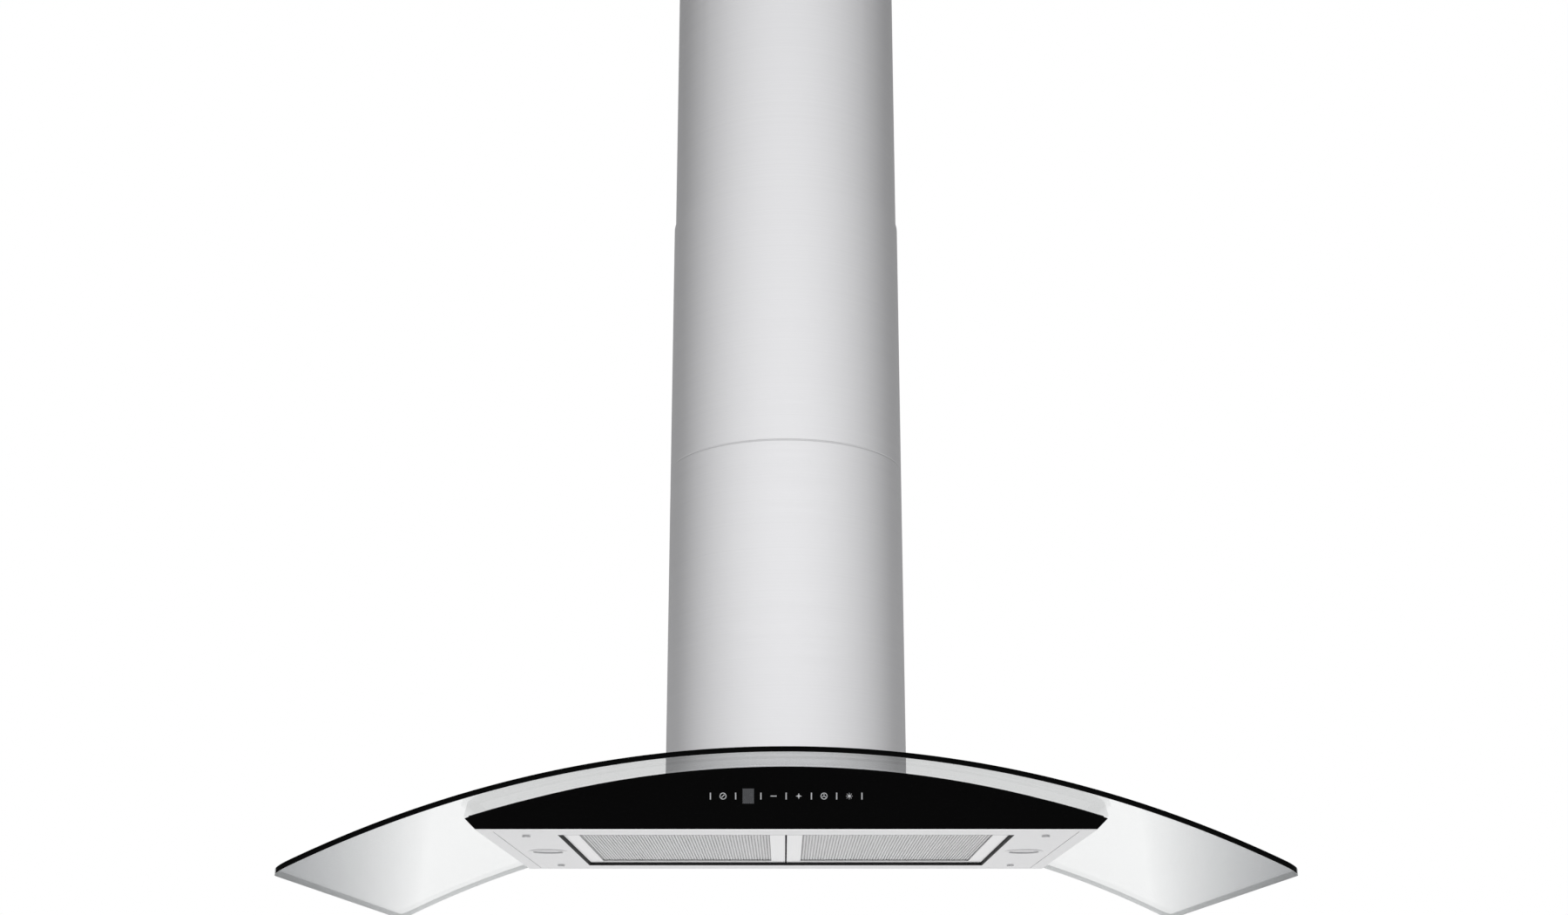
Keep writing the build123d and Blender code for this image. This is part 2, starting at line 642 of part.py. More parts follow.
with BuildPart() as blower_housing:
    with BuildSketch(Plane.XY.offset(RING_TOP_Z)):
        Circle(HOUSING_RADIUS)
    extrude(amount=HOUSING_TOP_Z - RING_TOP_Z)
    with BuildSketch(Plane.XY.offset(RING_TOP_Z)):
        Circle(HOUSING_FLANGE)
        with PolarLocations(CLAMP_CIRCLE_RADIUS, CLAMP_BOLTS):
            Circle(BOLT_HOLE / 2, mode=Mode.SUBTRACT)
    extrude(amount=HOUSING_SHEET)
    with BuildSketch(Plane.XY.offset(RING_TOP_Z)):
        Circle(HOUSING_RADIUS - HOUSING_SHEET)
    extrude(amount=roof_underside - RING_TOP_Z, mode=Mode.SUBTRACT)
    # Clearance for the clamp bolts' shanks and heads beside the wall.
    with BuildSketch(Plane.XY.offset(RING_TOP_Z)):
        with PolarLocations(CLAMP_CIRCLE_RADIUS, CLAMP_BOLTS):
            Circle(BOLT_HEAD / 2 + 1)
    extrude(amount=HOUSING_SHEET + BOLT_HEAD_HEIGHT + 2, mode=Mode.SUBTRACT)
    with BuildSketch(Plane.XY.offset(RING_TOP_Z)):
        with PolarLocations(CLAMP_CIRCLE_RADIUS, CLAMP_BOLTS):
            Circle(BOLT_HEAD / 2 + 1)
            Circle(BOLT_HOLE / 2, mode=Mode.SUBTRACT)
    extrude(amount=HOUSING_SHEET)
    # Outlet and bolt holes in the roof.
    with BuildSketch(Plane.XY.offset(roof_underside)):
        with Locations((outlet_middle, 0)):
            Rectangle(outlet_width - 2 * SCROLL_WALL, SCROLL_WIDTH - 2 * SCROLL_WALL)
            with GridLocations(2 * collar_holes[0], 2 * collar_holes[1], 2, 2):
                Circle(SMALL_SCREW / 2)
        with GridLocations(2 * lower_centre, 2 * lower_centre, 2, 2):
            Circle(BOLT / 2)
    extrude(amount=HOUSING_SHEET, mode=Mode.SUBTRACT)
save(blower_housing.part, "blower_housing")

for half, keep in (("front", Keep.BOTTOM), ("rear", Keep.TOP)):
    with BuildPart() as scroll:
        add(scroll_form(0, roof_underside))
        flange_z = roof_underside - 2
        with BuildSketch(Plane.XY.offset(flange_z)):
            with Locations((outlet_middle, 0)):
                Rectangle(outlet_width + 2 * COLLAR_FLANGE, SCROLL_WIDTH + 2 * COLLAR_FLANGE)
                with GridLocations(2 * collar_holes[0], 2 * collar_holes[1], 2, 2):
                    Circle(SMALL_SCREW / 2, mode=Mode.SUBTRACT)
        extrude(amount=roof_underside - flange_z)
        add(scroll_form(SCROLL_WALL, roof_underside), mode=Mode.SUBTRACT)
        with Locations((FAN_X, 0, FAN_Z)):
            Cylinder(SCROLL_INLET, 2 * SCROLL_WIDTH, rotation=(90, 0, 0), mode=Mode.SUBTRACT)
        if half == "rear":
            # Pilot holes for the motor bracket's screws.
            with BuildSketch(Plane.XZ):
                with Locations((FAN_X, FAN_Z)):
                    with PolarLocations(BRACKET_HOLE_CIRCLE, 3, start_angle=90):
                        Circle(SMALL_SCREW / 2)
            extrude(amount=-SCROLL_WIDTH, mode=Mode.SUBTRACT)
        split(bisect_by=Plane(origin=(0, 0, 0), z_dir=(0, 1, 0)), keep=keep)
    save(scroll.part, f"scroll_{half}")

# ---------------------------------------------------------------- fan wheel and motor

with BuildPart() as impeller:
    with BuildSketch(Plane.XZ.offset(-WHEEL_WIDTH / 2)):
        with Locations((FAN_X, FAN_Z)):
            with PolarLocations(WHEEL_RADIUS - BLADE_INSET, BLADES):
                Rectangle(BLADE_LENGTH, BLADE_SHEET, rotation=BLADE_ANGLE)
    extrude(amount=WHEEL_WIDTH)
    for y in (-WHEEL_WIDTH / 2, WHEEL_WIDTH / 2 - WHEEL_BAND_SHEET):
        with BuildSketch(Plane.XZ.offset(-y)):
            with Locations((FAN_X, FAN_Z)):
                Circle(WHEEL_RADIUS)
                Circle(WHEEL_RADIUS - WHEEL_BAND, mode=Mode.SUBTRACT)
        extrude(amount=-WHEEL_BAND_SHEET)
    with BuildSketch(Plane.XZ):
        with Locations((FAN_X, FAN_Z)):
            Circle(WHEEL_RADIUS - 1)
    extrude(amount=1, both=True)
    with BuildSketch(Plane.XZ):
        with Locations((FAN_X, FAN_Z)):
            Circle(HUB_RADIUS)
    extrude(amount=HUB_HALF_WIDTH, both=True)
    with BuildSketch(Plane.XZ):
        with Locations((FAN_X, FAN_Z)):
            Circle(SHAFT_RADIUS)
    extrude(amount=HUB_HALF_WIDTH + 1, both=True, mode=Mode.SUBTRACT)
save(impeller.part, "impeller")


def disc_along_y(radius, y0, y1, hole=0):
    """A round solid on the fan's axis between two positions along Y."""
    with BuildPart() as disc:
        with BuildSketch(Plane.XZ.offset(-y0)):
            with Locations((FAN_X, FAN_Z)):
                Circle(radius)
                if hole:
                    Circle(hole, mode=Mode.SUBTRACT)
        extrude(amount=-(y1 - y0))
    return disc.part


cap_y = MOTOR_BACK_Y - END_CAP_DEPTH

with BuildPart() as motor_shaft:
    add(disc_along_y(SHAFT_RADIUS, SHAFT_FRONT_Y, MOTOR_BACK_Y - 2))
    chamfer(motor_shaft.faces().sort_by(Axis.Y)[0].edges(), SHAFT_CHAMFER)
save(motor_shaft.part, "motor_shaft")

with BuildPart() as motor_rotor:
    rotor_front = MOTOR_FRONT_Y + ROTOR_ROOM[0]
    add(disc_along_y(ROTOR_RADIUS, rotor_front, cap_y - ROTOR_ROOM[1], hole=SHAFT_RADIUS))
save(motor_rotor.part, "motor_rotor")

with BuildPart() as motor_stator:
    stator_front = MOTOR_FRONT_Y + STATOR_ROOM[0]
    stator_bore = ROTOR_RADIUS + ROTOR_AIR_GAP
    add(disc_along_y(MOTOR_RADIUS - CASE_WALL, stator_front, cap_y - STATOR_ROOM[1], hole=stator_bore))
save(motor_stator.part, "motor_stator")

with BuildPart() as motor_case:
    add(disc_along_y(MOTOR_RADIUS, MOTOR_FRONT_Y, cap_y))
    add(
        disc_along_y(MOTOR_RADIUS - CASE_WALL, MOTOR_FRONT_Y + CASE_WALL, cap_y),
        mode=Mode.SUBTRACT,
    )
    add(disc_along_y(BEARING_OUTER + 2, MOTOR_FRONT_Y, MOTOR_FRONT_Y + CASE_WALL + BEARING_WIDTH))
    add(
        disc_along_y(BEARING_OUTER, MOTOR_FRONT_Y + CASE_WALL, MOTOR_FRONT_Y + CASE_WALL + BEARING_WIDTH),
        mode=Mode.SUBTRACT,
    )
    add(disc_along_y(SHAFT_RADIUS + 1, MOTOR_FRONT_Y, MOTOR_FRONT_Y + CASE_WALL), mode=Mode.SUBTRACT)
save(motor_case.part, "motor_case")

with BuildPart() as motor_end_cap:
    add(disc_along_y(MOTOR_RADIUS, cap_y, MOTOR_BACK_Y))
    add(disc_along_y(MOTOR_RADIUS - CASE_WALL, cap_y, MOTOR_BACK_Y - CASE_WALL), mode=Mode.SUBTRACT)
    add(disc_along_y(BEARING_OUTER + 2, cap_y, MOTOR_BACK_Y))
    add(
        disc_along_y(BEARING_OUTER, cap_y, MOTOR_BACK_Y - CASE_WALL),
        mode=Mode.SUBTRACT,
    )
save(motor_end_cap.part, "motor_end_cap")

with BuildPart() as motor_bearings:
    front = MOTOR_FRONT_Y + CASE_WALL
    for y in (front, MOTOR_BACK_Y - CASE_WALL - BEARING_WIDTH):
        add(disc_along_y(BEARING_OUTER, y, y + BEARING_WIDTH, hole=SHAFT_RADIUS + RUNNING_GAP))
save(motor_bearings.part, "motor_bearings")

# Three-armed bracket that hangs the motor in the rear inlet of the scroll.
bracket_y = SCROLL_WIDTH / 2
with BuildPart() as motor_bracket:
    with BuildSketch(Plane.XZ.offset(-bracket_y)):
        with Locations((FAN_X, FAN_Z)):
            Circle(MOTOR_RADIUS + BRACKET_BAND)
            with PolarLocations(MOTOR_RADIUS + BRACKET_ARM_LENGTH / 2 + 1, 3, start_angle=90):
                Rectangle(BRACKET_ARM_LENGTH, BRACKET_ARM_WIDTH)
            Circle(MOTOR_RADIUS, mode=Mode.SUBTRACT)
            with PolarLocations(BRACKET_HOLE_CIRCLE, 3, start_angle=90):
                Circle(BRACKET_HOLE / 2, mode=Mode.SUBTRACT)
    extrude(amount=-BRACKET_SHEET)
save(motor_bracket.part, "motor_bracket")

with BuildPart() as bracket_screws:
    with BuildSketch(Plane.XZ.offset(-bracket_y - BRACKET_SHEET)):
        with Locations((FAN_X, FAN_Z)):
            with PolarLocations(BRACKET_HOLE_CIRCLE, 3, start_angle=90):
                Circle(SMALL_SCREW_HEAD / 2)
    extrude(amount=-BRACKET_SCREW_HEAD_HEIGHT)
    with BuildSketch(Plane.XZ.offset(-bracket_y - BRACKET_SHEET)):
        with Locations((FAN_X, FAN_Z)):
            with PolarLocations(BRACKET_HOLE_CIRCLE, 3, start_angle=90):
                Circle(SMALL_SCREW / 2)
    extrude(amount=BRACKET_SCREW_LENGTH)
save(bracket_screws.part, "bracket_screws")

with BuildPart() as motor_capacitor:
    with BuildSketch(Plane.XY.offset(HOUSING_TOP_Z)):
        with Locations((CAPACITOR_X, 0)):
            Circle(CAPACITOR_RADIUS)
    extrude(amount=CAPACITOR_HEIGHT)
    fillet(motor_capacitor.faces().sort_by(Axis.Z)[-1].edges(), 2)
save(motor_capacitor.part, "motor_capacitor")

# ---------------------------------------------------------------- outlet collar and damper


def collar_body(wall, base_z):
    """Rectangle-to-round transition and spigot, drawn in by a wall thickness."""
    with BuildPart() as body:
        with BuildSketch(Plane.XY.offset(base_z)):
            with Locations((outlet_middle, 0)):
                Rectangle(outlet_width - 2 * wall, SCROLL_WIDTH - 2 * wall)
        extrude(amount=COLLAR_NECK)
        with BuildSketch(Plane.XY.offset(base_z + COLLAR_NECK)):
            with Locations((outlet_middle, 0)):
                Rectangle(outlet_width - 2 * wall, SCROLL_WIDTH - 2 * wall)
        with BuildSketch(Plane.XY.offset(COLLAR_ROUND_Z)):
            Circle(COLLAR_RADIUS - wall)
        loft()
        with BuildSketch(Plane.XY.offset(COLLAR_ROUND_Z)):
            Circle(COLLAR_RADIUS - wall)
        extrude(amount=COLLAR_TOP_Z - COLLAR_ROUND_Z)
    return body.part


with BuildPart() as outlet_collar:
    add(collar_body(0, HOUSING_TOP_Z))
    with BuildSketch(Plane.XY.offset(HOUSING_TOP_Z)):
        with Locations((outlet_middle, 0)):
            Rectangle(outlet_width + 2 * COLLAR_FLANGE, SCROLL_WIDTH + 2 * COLLAR_FLANGE)
            with GridLocations(2 * collar_holes[0], 2 * collar_holes[1], 2, 2):
                Circle(SMALL_SCREW / 2, mode=Mode.SUBTRACT)
    extrude(amount=COLLAR_FLANGE_SHEET)
    add(collar_body(COLLAR_WALL, HOUSING_TOP_Z), mode=Mode.SUBTRACT)
    # Ledge that the closed flaps rest on.
    ledge_z = DAMPER_Z - FLAP_THICKNESS / 2 - LEDGE_GAP - LEDGE_SHEET
    with BuildSketch(Plane.XY.offset(ledge_z)):
        Circle(COLLAR_RADIUS - COLLAR_WALL / 2)
        Circle(COLLAR_RADIUS - COLLAR_WALL - LEDGE_WIDTH, mode=Mode.SUBTRACT)
        gap_half_length = COLLAR_RADIUS - COLLAR_WALL - LEDGE_END_GAP
        Rectangle(4 * DAMPER_AXIS_X, 2 * gap_half_length, mode=Mode.SUBTRACT)
    extrude(amount=LEDGE_SHEET)
    # Bearing holes for the flap pins.
    for sx in (-1, 1):
        with Locations((sx * DAMPER_AXIS_X, 0, DAMPER_Z)):
            Cylinder(FLAP_PIN + RUNNING_GAP, 3 * COLLAR_RADIUS, rotation=(90, 0, 0), mode=Mode.SUBTRACT)
save(outlet_collar.part, "outlet_collar")

with BuildPart() as collar_screws:
    head_z = HOUSING_TOP_Z + COLLAR_FLANGE_SHEET
    with BuildSketch(Plane.XY.offset(head_z)):
        with Locations((outlet_middle, 0)):
            with GridLocations(2 * collar_holes[0], 2 * collar_holes[1], 2, 2):
                Circle(SMALL_SCREW_HEAD / 2)
    extrude(amount=COLLAR_SCREW_HEAD_HEIGHT)
    with BuildSketch(Plane.XY.offset(head_z)):
        with Locations((outlet_middle, 0)):
            with GridLocations(2 * collar_holes[0], 2 * collar_holes[1], 2, 2):
                Circle(SMALL_SCREW / 2)
    extrude(amount=-COLLAR_SCREW_LENGTH)
save(collar_screws.part, "collar_screws")

for side, sx in SIDES:
    with BuildPart() as flap:
        with BuildSketch(Plane.XY.offset(DAMPER_Z - FLAP_THICKNESS / 2)):
            Circle(FLAP_RADIUS)
            with Locations((sx * (DAMPER_AXIS_X - FLAP_RADIUS), 0)):
                Rectangle(2 * FLAP_RADIUS, 2 * FLAP_RADIUS, mode=Mode.SUBTRACT)
        extrude(amount=FLAP_THICKNESS)
        with BuildSketch(Plane.XZ):
            with Locations((sx * DAMPER_AXIS_X, DAMPER_Z)):
                Circle(FLAP_TUBE)
        extrude(amount=COLLAR_RADIUS - COLLAR_WALL - FLAP_TUBE_END_GAP, both=True)
        with BuildSketch(Plane.XZ):
            with Locations((sx * DAMPER_AXIS_X, DAMPER_Z)):
                Circle(FLAP_PIN)
        extrude(amount=COLLAR_RADIUS - FLAP_PIN_END_GAP, both=True)
    save(flap.part, f"damper_flap_{side}")

# ---------------------------------------------------------------- mains terminal box

with BuildPart() as terminal_box:
    top = HOUSING_TOP_Z + BOX_HEIGHT
    add(slab(-BOX_HALF_WIDTH, BOX_HALF_WIDTH, *BOX_Y, HOUSING_TOP_Z, top))
    fillet(terminal_box.edges().filter_by(Axis.Z), 3)
    add(
        slab(
            -BOX_HALF_WIDTH + BOX_WALL,
            BOX_HALF_WIDTH - BOX_WALL,
            BOX_Y[0] + BOX_WALL,
            BOX_Y[1] - BOX_WALL,
            HOUSING_TOP_Z + BOX_WALL,
            top - BOX_WALL,
        ),
        mode=Mode.SUBTRACT,
    )
    with BuildSketch(Plane.XY.offset(top - BOX_WALL)):
        with Locations(GLAND_PLACE):
            Circle(GLAND_THREAD_RADIUS)
    extrude(amount=BOX_WALL, mode=Mode.SUBTRACT)
save(terminal_box.part, "terminal_box")

with BuildPart() as cable_gland:
    top = HOUSING_TOP_Z + BOX_HEIGHT
    with BuildSketch(Plane.XY.offset(top)):
        with Locations(GLAND_PLACE):
            RegularPolygon(GLAND_RADIUS, 6, major_radius=False)
    extrude(amount=GLAND_NUT_HEIGHT)
    with BuildSketch(Plane.XY.offset(top + GLAND_NUT_HEIGHT)):
        with Locations(GLAND_PLACE):
            Circle(GLAND_CAP_RADIUS)
    extrude(amount=GLAND_CAP_HEIGHT)
    fillet(cable_gland.faces().sort_by(Axis.Z)[-1].edges(), 2)
    with BuildSketch(Plane.XY.offset(top)):
        with Locations(GLAND_PLACE):
            Circle(GLAND_THREAD_RADIUS)
    extrude(amount=-GLAND_THREAD_LENGTH)
    with BuildSketch(Plane.XY.offset(top - GLAND_THREAD_LENGTH)):
        with Locations(GLAND_PLACE):
            Circle(CABLE_RADIUS)
    extrude(amount=GLAND_THREAD_LENGTH + GLAND_NUT_HEIGHT + GLAND_CAP_HEIGHT, mode=Mode.SUBTRACT)
save(cable_gland.part, "cable_gland")

# ---------------------------------------------------------------- canopy body


with BuildPart() as body_shell:
    add(body_envelope(0, FACE_GLASS, BODY_BOTTOM_Z, TOP_RADIUS))
    add(
        body_envelope(
            BODY_SHEET,
            FACE_GLASS + BODY_SHEET,
            BODY_BOTTOM_Z + BODY_SHEET,
            TOP_RADIUS - BODY_SHEET,
        ),
        mode=Mode.SUBTRACT,
    )
    # Bottom flange: it reaches out under the glass faces and turns up around the opening.
    floor_top = BODY_BOTTOM_Z + BODY_SHEET
    with BuildSketch(Plane.XY.offset(BODY_BOTTOM_Z)):
        Rectangle(2 * BODY_HALF_WIDTH, 2 * BODY_HALF_DEPTH)
    extrude(amount=BODY_SHEET)
    with BuildSketch(Plane.XY.offset(BODY_BOTTOM_Z)):
        Rectangle(2 * (OPENING_HALF_WIDTH + BODY_SHEET), 2 * (OPENING_HALF_DEPTH + BODY_SHEET))
    extrude(amount=RETURN_HEIGHT)
    with BuildSketch(Plane.XY.offset(BODY_BOTTOM_Z)):
        Rectangle(2 * OPENING_HALF_WIDTH, 2 * OPENING_HALF_DEPTH)
    extrude(amount=RETURN_HEIGHT, mode=Mode.SUBTRACT)
    # Four tabs that the bottom panel is screwed up against.
    tab_reach = OPENING_HALF_WIDTH - PANEL_SCREW_X + PANEL_TAB_END
    with BuildSketch(Plane.XY.offset(floor_top)):
        with GridLocations(2 * OPENING_HALF_WIDTH - tab_reach, 2 * PANEL_SCREW_Y, 2, 2):
            Rectangle(tab_reach, PANEL_TAB_WIDTH)
        with GridLocations(2 * PANEL_SCREW_X, 2 * PANEL_SCREW_Y, 2, 2):
            Circle(COVER_SCREW / 2, mode=Mode.SUBTRACT)
    extrude(amount=BODY_SHEET)
    # Air hole and clamp holes in the top.
    with BuildSketch(Plane.XY.offset(BLANK_TOP_Z - HOLE_BLANK)):
        Circle(GLASS_HOLE + 1)
        with PolarLocations(CLAMP_CIRCLE_RADIUS, CLAMP_BOLTS):
            Circle(BOLT_HOLE / 2)
    extrude(amount=HOLE_BLANK, mode=Mode.SUBTRACT)
    # Window behind the touch keys.
    add(
        slab(
            -WINDOW_HALF_WIDTH,
            WINDOW_HALF_WIDTH,
            -face_y(CROWN_Z),
            -OPENING_HALF_DEPTH - 2 * BODY_SHEET,
            BODY_BOTTOM_Z + WINDOW_LOW,
            BODY_BOTTOM_Z + WINDOW_HIGH,
        ),
        mode=Mode.SUBTRACT,
    )
save(body_shell.part, "body_shell")

for face, sy in (("front", -1), ("rear", 1)):
    with BuildPart() as panel:
        add(body_envelope(0, 0, BODY_BOTTOM_Z + BODY_SHEET, TOP_RADIUS))
        add(body_envelope(-1, FACE_GLASS, BODY_BOTTOM_Z + BODY_SHEET, TOP_RADIUS + 1), mode=Mode.SUBTRACT)
        near, far = sorted((0, sy * GLASS_DEPTH))
        add(slab(-GLASS_WIDTH, GLASS_WIDTH, near, far, BODY_BOTTOM_Z, CROWN_Z), mode=Mode.INTERSECT)
    save(panel.part, f"{face}_panel")

with BuildPart() as bottom_panel:
    with BuildSketch(Plane.XY.offset(BODY_BOTTOM_Z)):
        Rectangle(2 * (OPENING_HALF_WIDTH - PANEL_GAP), 2 * (OPENING_HALF_DEPTH - PANEL_GAP))
        with GridLocations(2 * LAMP_X, 0, 2, 1):
            Circle(LAMP_RADIUS + LAMP_WALL + LAMP_CLEARANCE, mode=Mode.SUBTRACT)
        with GridLocations(2 * PANEL_SCREW_X, 2 * PANEL_SCREW_Y, 2, 2):
            Circle(COVER_SCREW / 2, mode=Mode.SUBTRACT)
    extrude(amount=BODY_SHEET)
    # Rim folded up around the filters, taller beside them.
    with BuildSketch(Plane.XY.offset(BODY_BOTTOM_Z)):
        Rectangle(
            2 * (FILTER_OPENING_HALF_WIDTH + BODY_SHEET),
            2 * (FILTER_OPENING_HALF_DEPTH + BODY_SHEET),
        )
    extrude(amount=RIM_HEIGHT)
    flange_x = FILTER_OPENING_HALF_WIDTH + BODY_SHEET / 2
    with BuildSketch(Plane.XY.offset(BODY_BOTTOM_Z)):
        with GridLocations(2 * flange_x, 0, 2, 1):
            Rectangle(BODY_SHEET, 2 * FILTER_OPENING_HALF_DEPTH)
    extrude(amount=RETURN_HEIGHT)
    with BuildSketch(Plane.XY.offset(BODY_BOTTOM_Z)):
        Rectangle(2 * FILTER_OPENING_HALF_WIDTH, 2 * FILTER_OPENING_HALF_DEPTH)
    extrude(amount=RIM_HEIGHT, mode=Mode.SUBTRACT)
save(bottom_panel.part, "bottom_panel")

# Rubber strip inside the rim, so that the filters do not rattle.
with BuildPart() as opening_trim:
    with BuildSketch(Plane.XY.offset(BODY_BOTTOM_Z)):
        Rectangle(2 * FILTER_OPENING_HALF_WIDTH, 2 * FILTER_OPENING_HALF_DEPTH)
        Rectangle(
            2 * (FILTER_OPENING_HALF_WIDTH - TRIM),
            2 * (FILTER_OPENING_HALF_DEPTH - TRIM),
            mode=Mode.SUBTRACT,
        )
    extrude(amount=RIM_HEIGHT - TRIM_DROP)
save(opening_trim.part, "opening_trim")

with BuildPart() as panel_screws:
    with BuildSketch(Plane.XY.offset(BODY_BOTTOM_Z)):
        with GridLocations(2 * PANEL_SCREW_X, 2 * PANEL_SCREW_Y, 2, 2):
            Circle(COVER_SCREW)
    extrude(amount=-PANEL_SCREW_HEAD_HEIGHT)
    with BuildSketch(Plane.XY.offset(BODY_BOTTOM_Z)):
        with GridLocations(2 * PANEL_SCREW_X, 2 * PANEL_SCREW_Y, 2, 2):
            Circle(COVER_SCREW / 2)
    extrude(amount=PANEL_SCREW_LENGTH)
save(panel_screws.part, "panel_screws")

# ---------------------------------------------------------------- touch board behind the front glass


def cell_x(cell):
    """Place of a touch cell's middle along X."""
    return (cell - (CELLS - 1) / 2) * ICON_PITCH


icon_z = BODY_BOTTOM_Z + ICON_HEIGHT
lean = atan(FACE_LEAN)
panel_plane = Plane(
    origin=(0, -face_y(icon_z), icon_z),
    x_dir=(1, 0, 0),
    z_dir=(0, -cos(lean), -sin(lean)),
)

with BuildPart() as touch_board:
    with BuildSketch(panel_plane.offset(-BOARD_DEPTH)):
        RectangleRounded(BOARD_WIDTH, BOARD_HEIGHT, BOARD_CORNER)
    extrude(amount=-BOARD_SHEET)
save(touch_board.part, "touch_board")

# Plastic frame that holds the board behind the window in the steel wall.
with BuildPart() as board_carrier:
    with BuildSketch(panel_plane.offset(-FACE_GLASS - BODY_SHEET)):
        RectangleRounded(CARRIER_WIDTH, CARRIER_HEIGHT, CARRIER_CORNER)
        Rectangle(CARRIER_OPENING_WIDTH, CARRIER_OPENING_HEIGHT, mode=Mode.SUBTRACT)
    extrude(amount=FACE_GLASS + BODY_SHEET - BOARD_DEPTH)
save(board_carrier.part, "board_carrier")

with BuildPart() as display_module:
    with BuildSketch(panel_plane.offset(-BOARD_DEPTH)):
        with Locations((cell_x(DISPLAY_CELL), 0)):
            Rectangle(DISPLAY_WIDTH, DISPLAY_HEIGHT)
    extrude(amount=BOARD_DEPTH - FACE_GLASS)
save(display_module.part, "display_module")

# A sprung contact behind every key, which presses on the back of the glass.
with BuildPart() as touch_springs:
    with BuildSketch(panel_plane.offset(-BOARD_DEPTH)):
        for cell in range(CELLS):
            if cell != DISPLAY_CELL:
                with Locations((cell_x(cell), 0)):
                    Circle(TOUCH_SPRING_OUTER)
                    Circle(TOUCH_SPRING_INNER, mode=Mode.SUBTRACT)
    extrude(amount=BOARD_DEPTH - FACE_GLASS)
save(touch_springs.part, "touch_springs")

with BuildPart() as lamp_driver:
    driver_bottom = BODY_BOTTOM_Z + BODY_SHEET
    add(slab(*DRIVER_X, *DRIVER_Y, driver_bottom, driver_bottom + DRIVER_HEIGHT))
    fillet(lamp_driver.edges().filter_by(Axis.Z), 3)
save(lamp_driver.part, "lamp_driver")

# ---------------------------------------------------------------- lamps

for side, sx in SIDES:
    lamp_place = (sx * LAMP_X, 0)
    with BuildPart() as bezel:
        with BuildSketch(Plane.XY.offset(BODY_BOTTOM_Z - LAMP_BEZEL_STAND)):
            with Locations(lamp_place):
                Circle(LAMP_BEZEL_RADIUS)
        extrude(amount=LAMP_BEZEL_STAND)
        chamfer(bezel.faces().sort_by(Axis.Z)[0].edges(), LAMP_BEZEL_CHAMFER)
        with BuildSketch(Plane.XY.offset(BODY_BOTTOM_Z)):
            with Locations(lamp_place):
                Circle(LAMP_RADIUS + LAMP_WALL)
        extrude(amount=LAMP_SLEEVE)
        with BuildSketch(Plane.XY.offset(BODY_BOTTOM_Z - LAMP_BEZEL_STAND)):
            with Locations(lamp_place):
                Circle(LAMP_WINDOW_RADIUS)
        extrude(amount=LAMP_BEZEL_STAND + LAMP_SLEEVE, mode=Mode.SUBTRACT)
        with BuildSketch(Plane.XY.offset(BODY_BOTTOM_Z)):
            with Locations(lamp_place):
                Circle(LAMP_RADIUS + LAMP_FIT)
        extrude(amount=LAMP_SLEEVE, mode=Mode.SUBTRACT)
    save(bezel.part, f"lamp_bezel_{side}")

    with BuildPart() as lens:
        with BuildSketch(Plane.XY.offset(BODY_BOTTOM_Z)):
            with Locations(lamp_place):
                Circle(LAMP_RADIUS)
        extrude(amount=LENS_THICKNESS)
    save(lens.part, f"lamp_lens_{side}")

    with BuildPart() as lamp_body:
        with BuildSketch(Plane.XY.offset(BODY_BOTTOM_Z + LENS_THICKNESS)):
            with Locations(lamp_place):
                Circle(LAMP_RADIUS)
        extrude(amount=LAMP_HEIGHT - LENS_THICKNESS)
        # Cooling fins.
        with BuildSketch(Plane.XY.offset(BODY_BOTTOM_Z + LAMP_SLEEVE + 1)):
            with Locations(lamp_place):
                with GridLocations(FIN_PITCH, 0, FIN_GAPS, 1):
                    Rectangle(FIN_GAP, 3 * LAMP_RADIUS)
        extrude(amount=LAMP_HEIGHT, mode=Mode.SUBTRACT)
    save(lamp_body.part, f"lamp_body_{side}")

# ---------------------------------------------------------------- grease filters

filter_bottom = BODY_BOTTOM_Z + FILTER_LIFT
filter_top = filter_bottom + FILTER_HEIGHT
rim_top = BODY_BOTTOM_Z + RIM_HEIGHT
filter_front = -FILTER_DEPTH / 2
filter_back = FILTER_DEPTH / 2
pocket_back = filter_front + LATCH_ZONE_DEPTH
inner_z = (filter_bottom + FILTER_SHEET, filter_top - FILTER_SHEET)
bolt_z = (rim_top + LATCH_PLAY, rim_top + LATCH_PLAY + LATCH_BOLT_SHEET)
slider_z = (inner_z[0] + LATCH_PLAY, inner_z[1] - LATCH_PLAY)
slider_front = filter_front + FILTER_SHEET + SLIDER_FRONT_GAP
slider_y = (slider_front, slider_front + SLIDER_DEPTH)
window_y = (filter_front + LATCH_WINDOW_Y[0], filter_front + LATCH_WINDOW_Y[1])

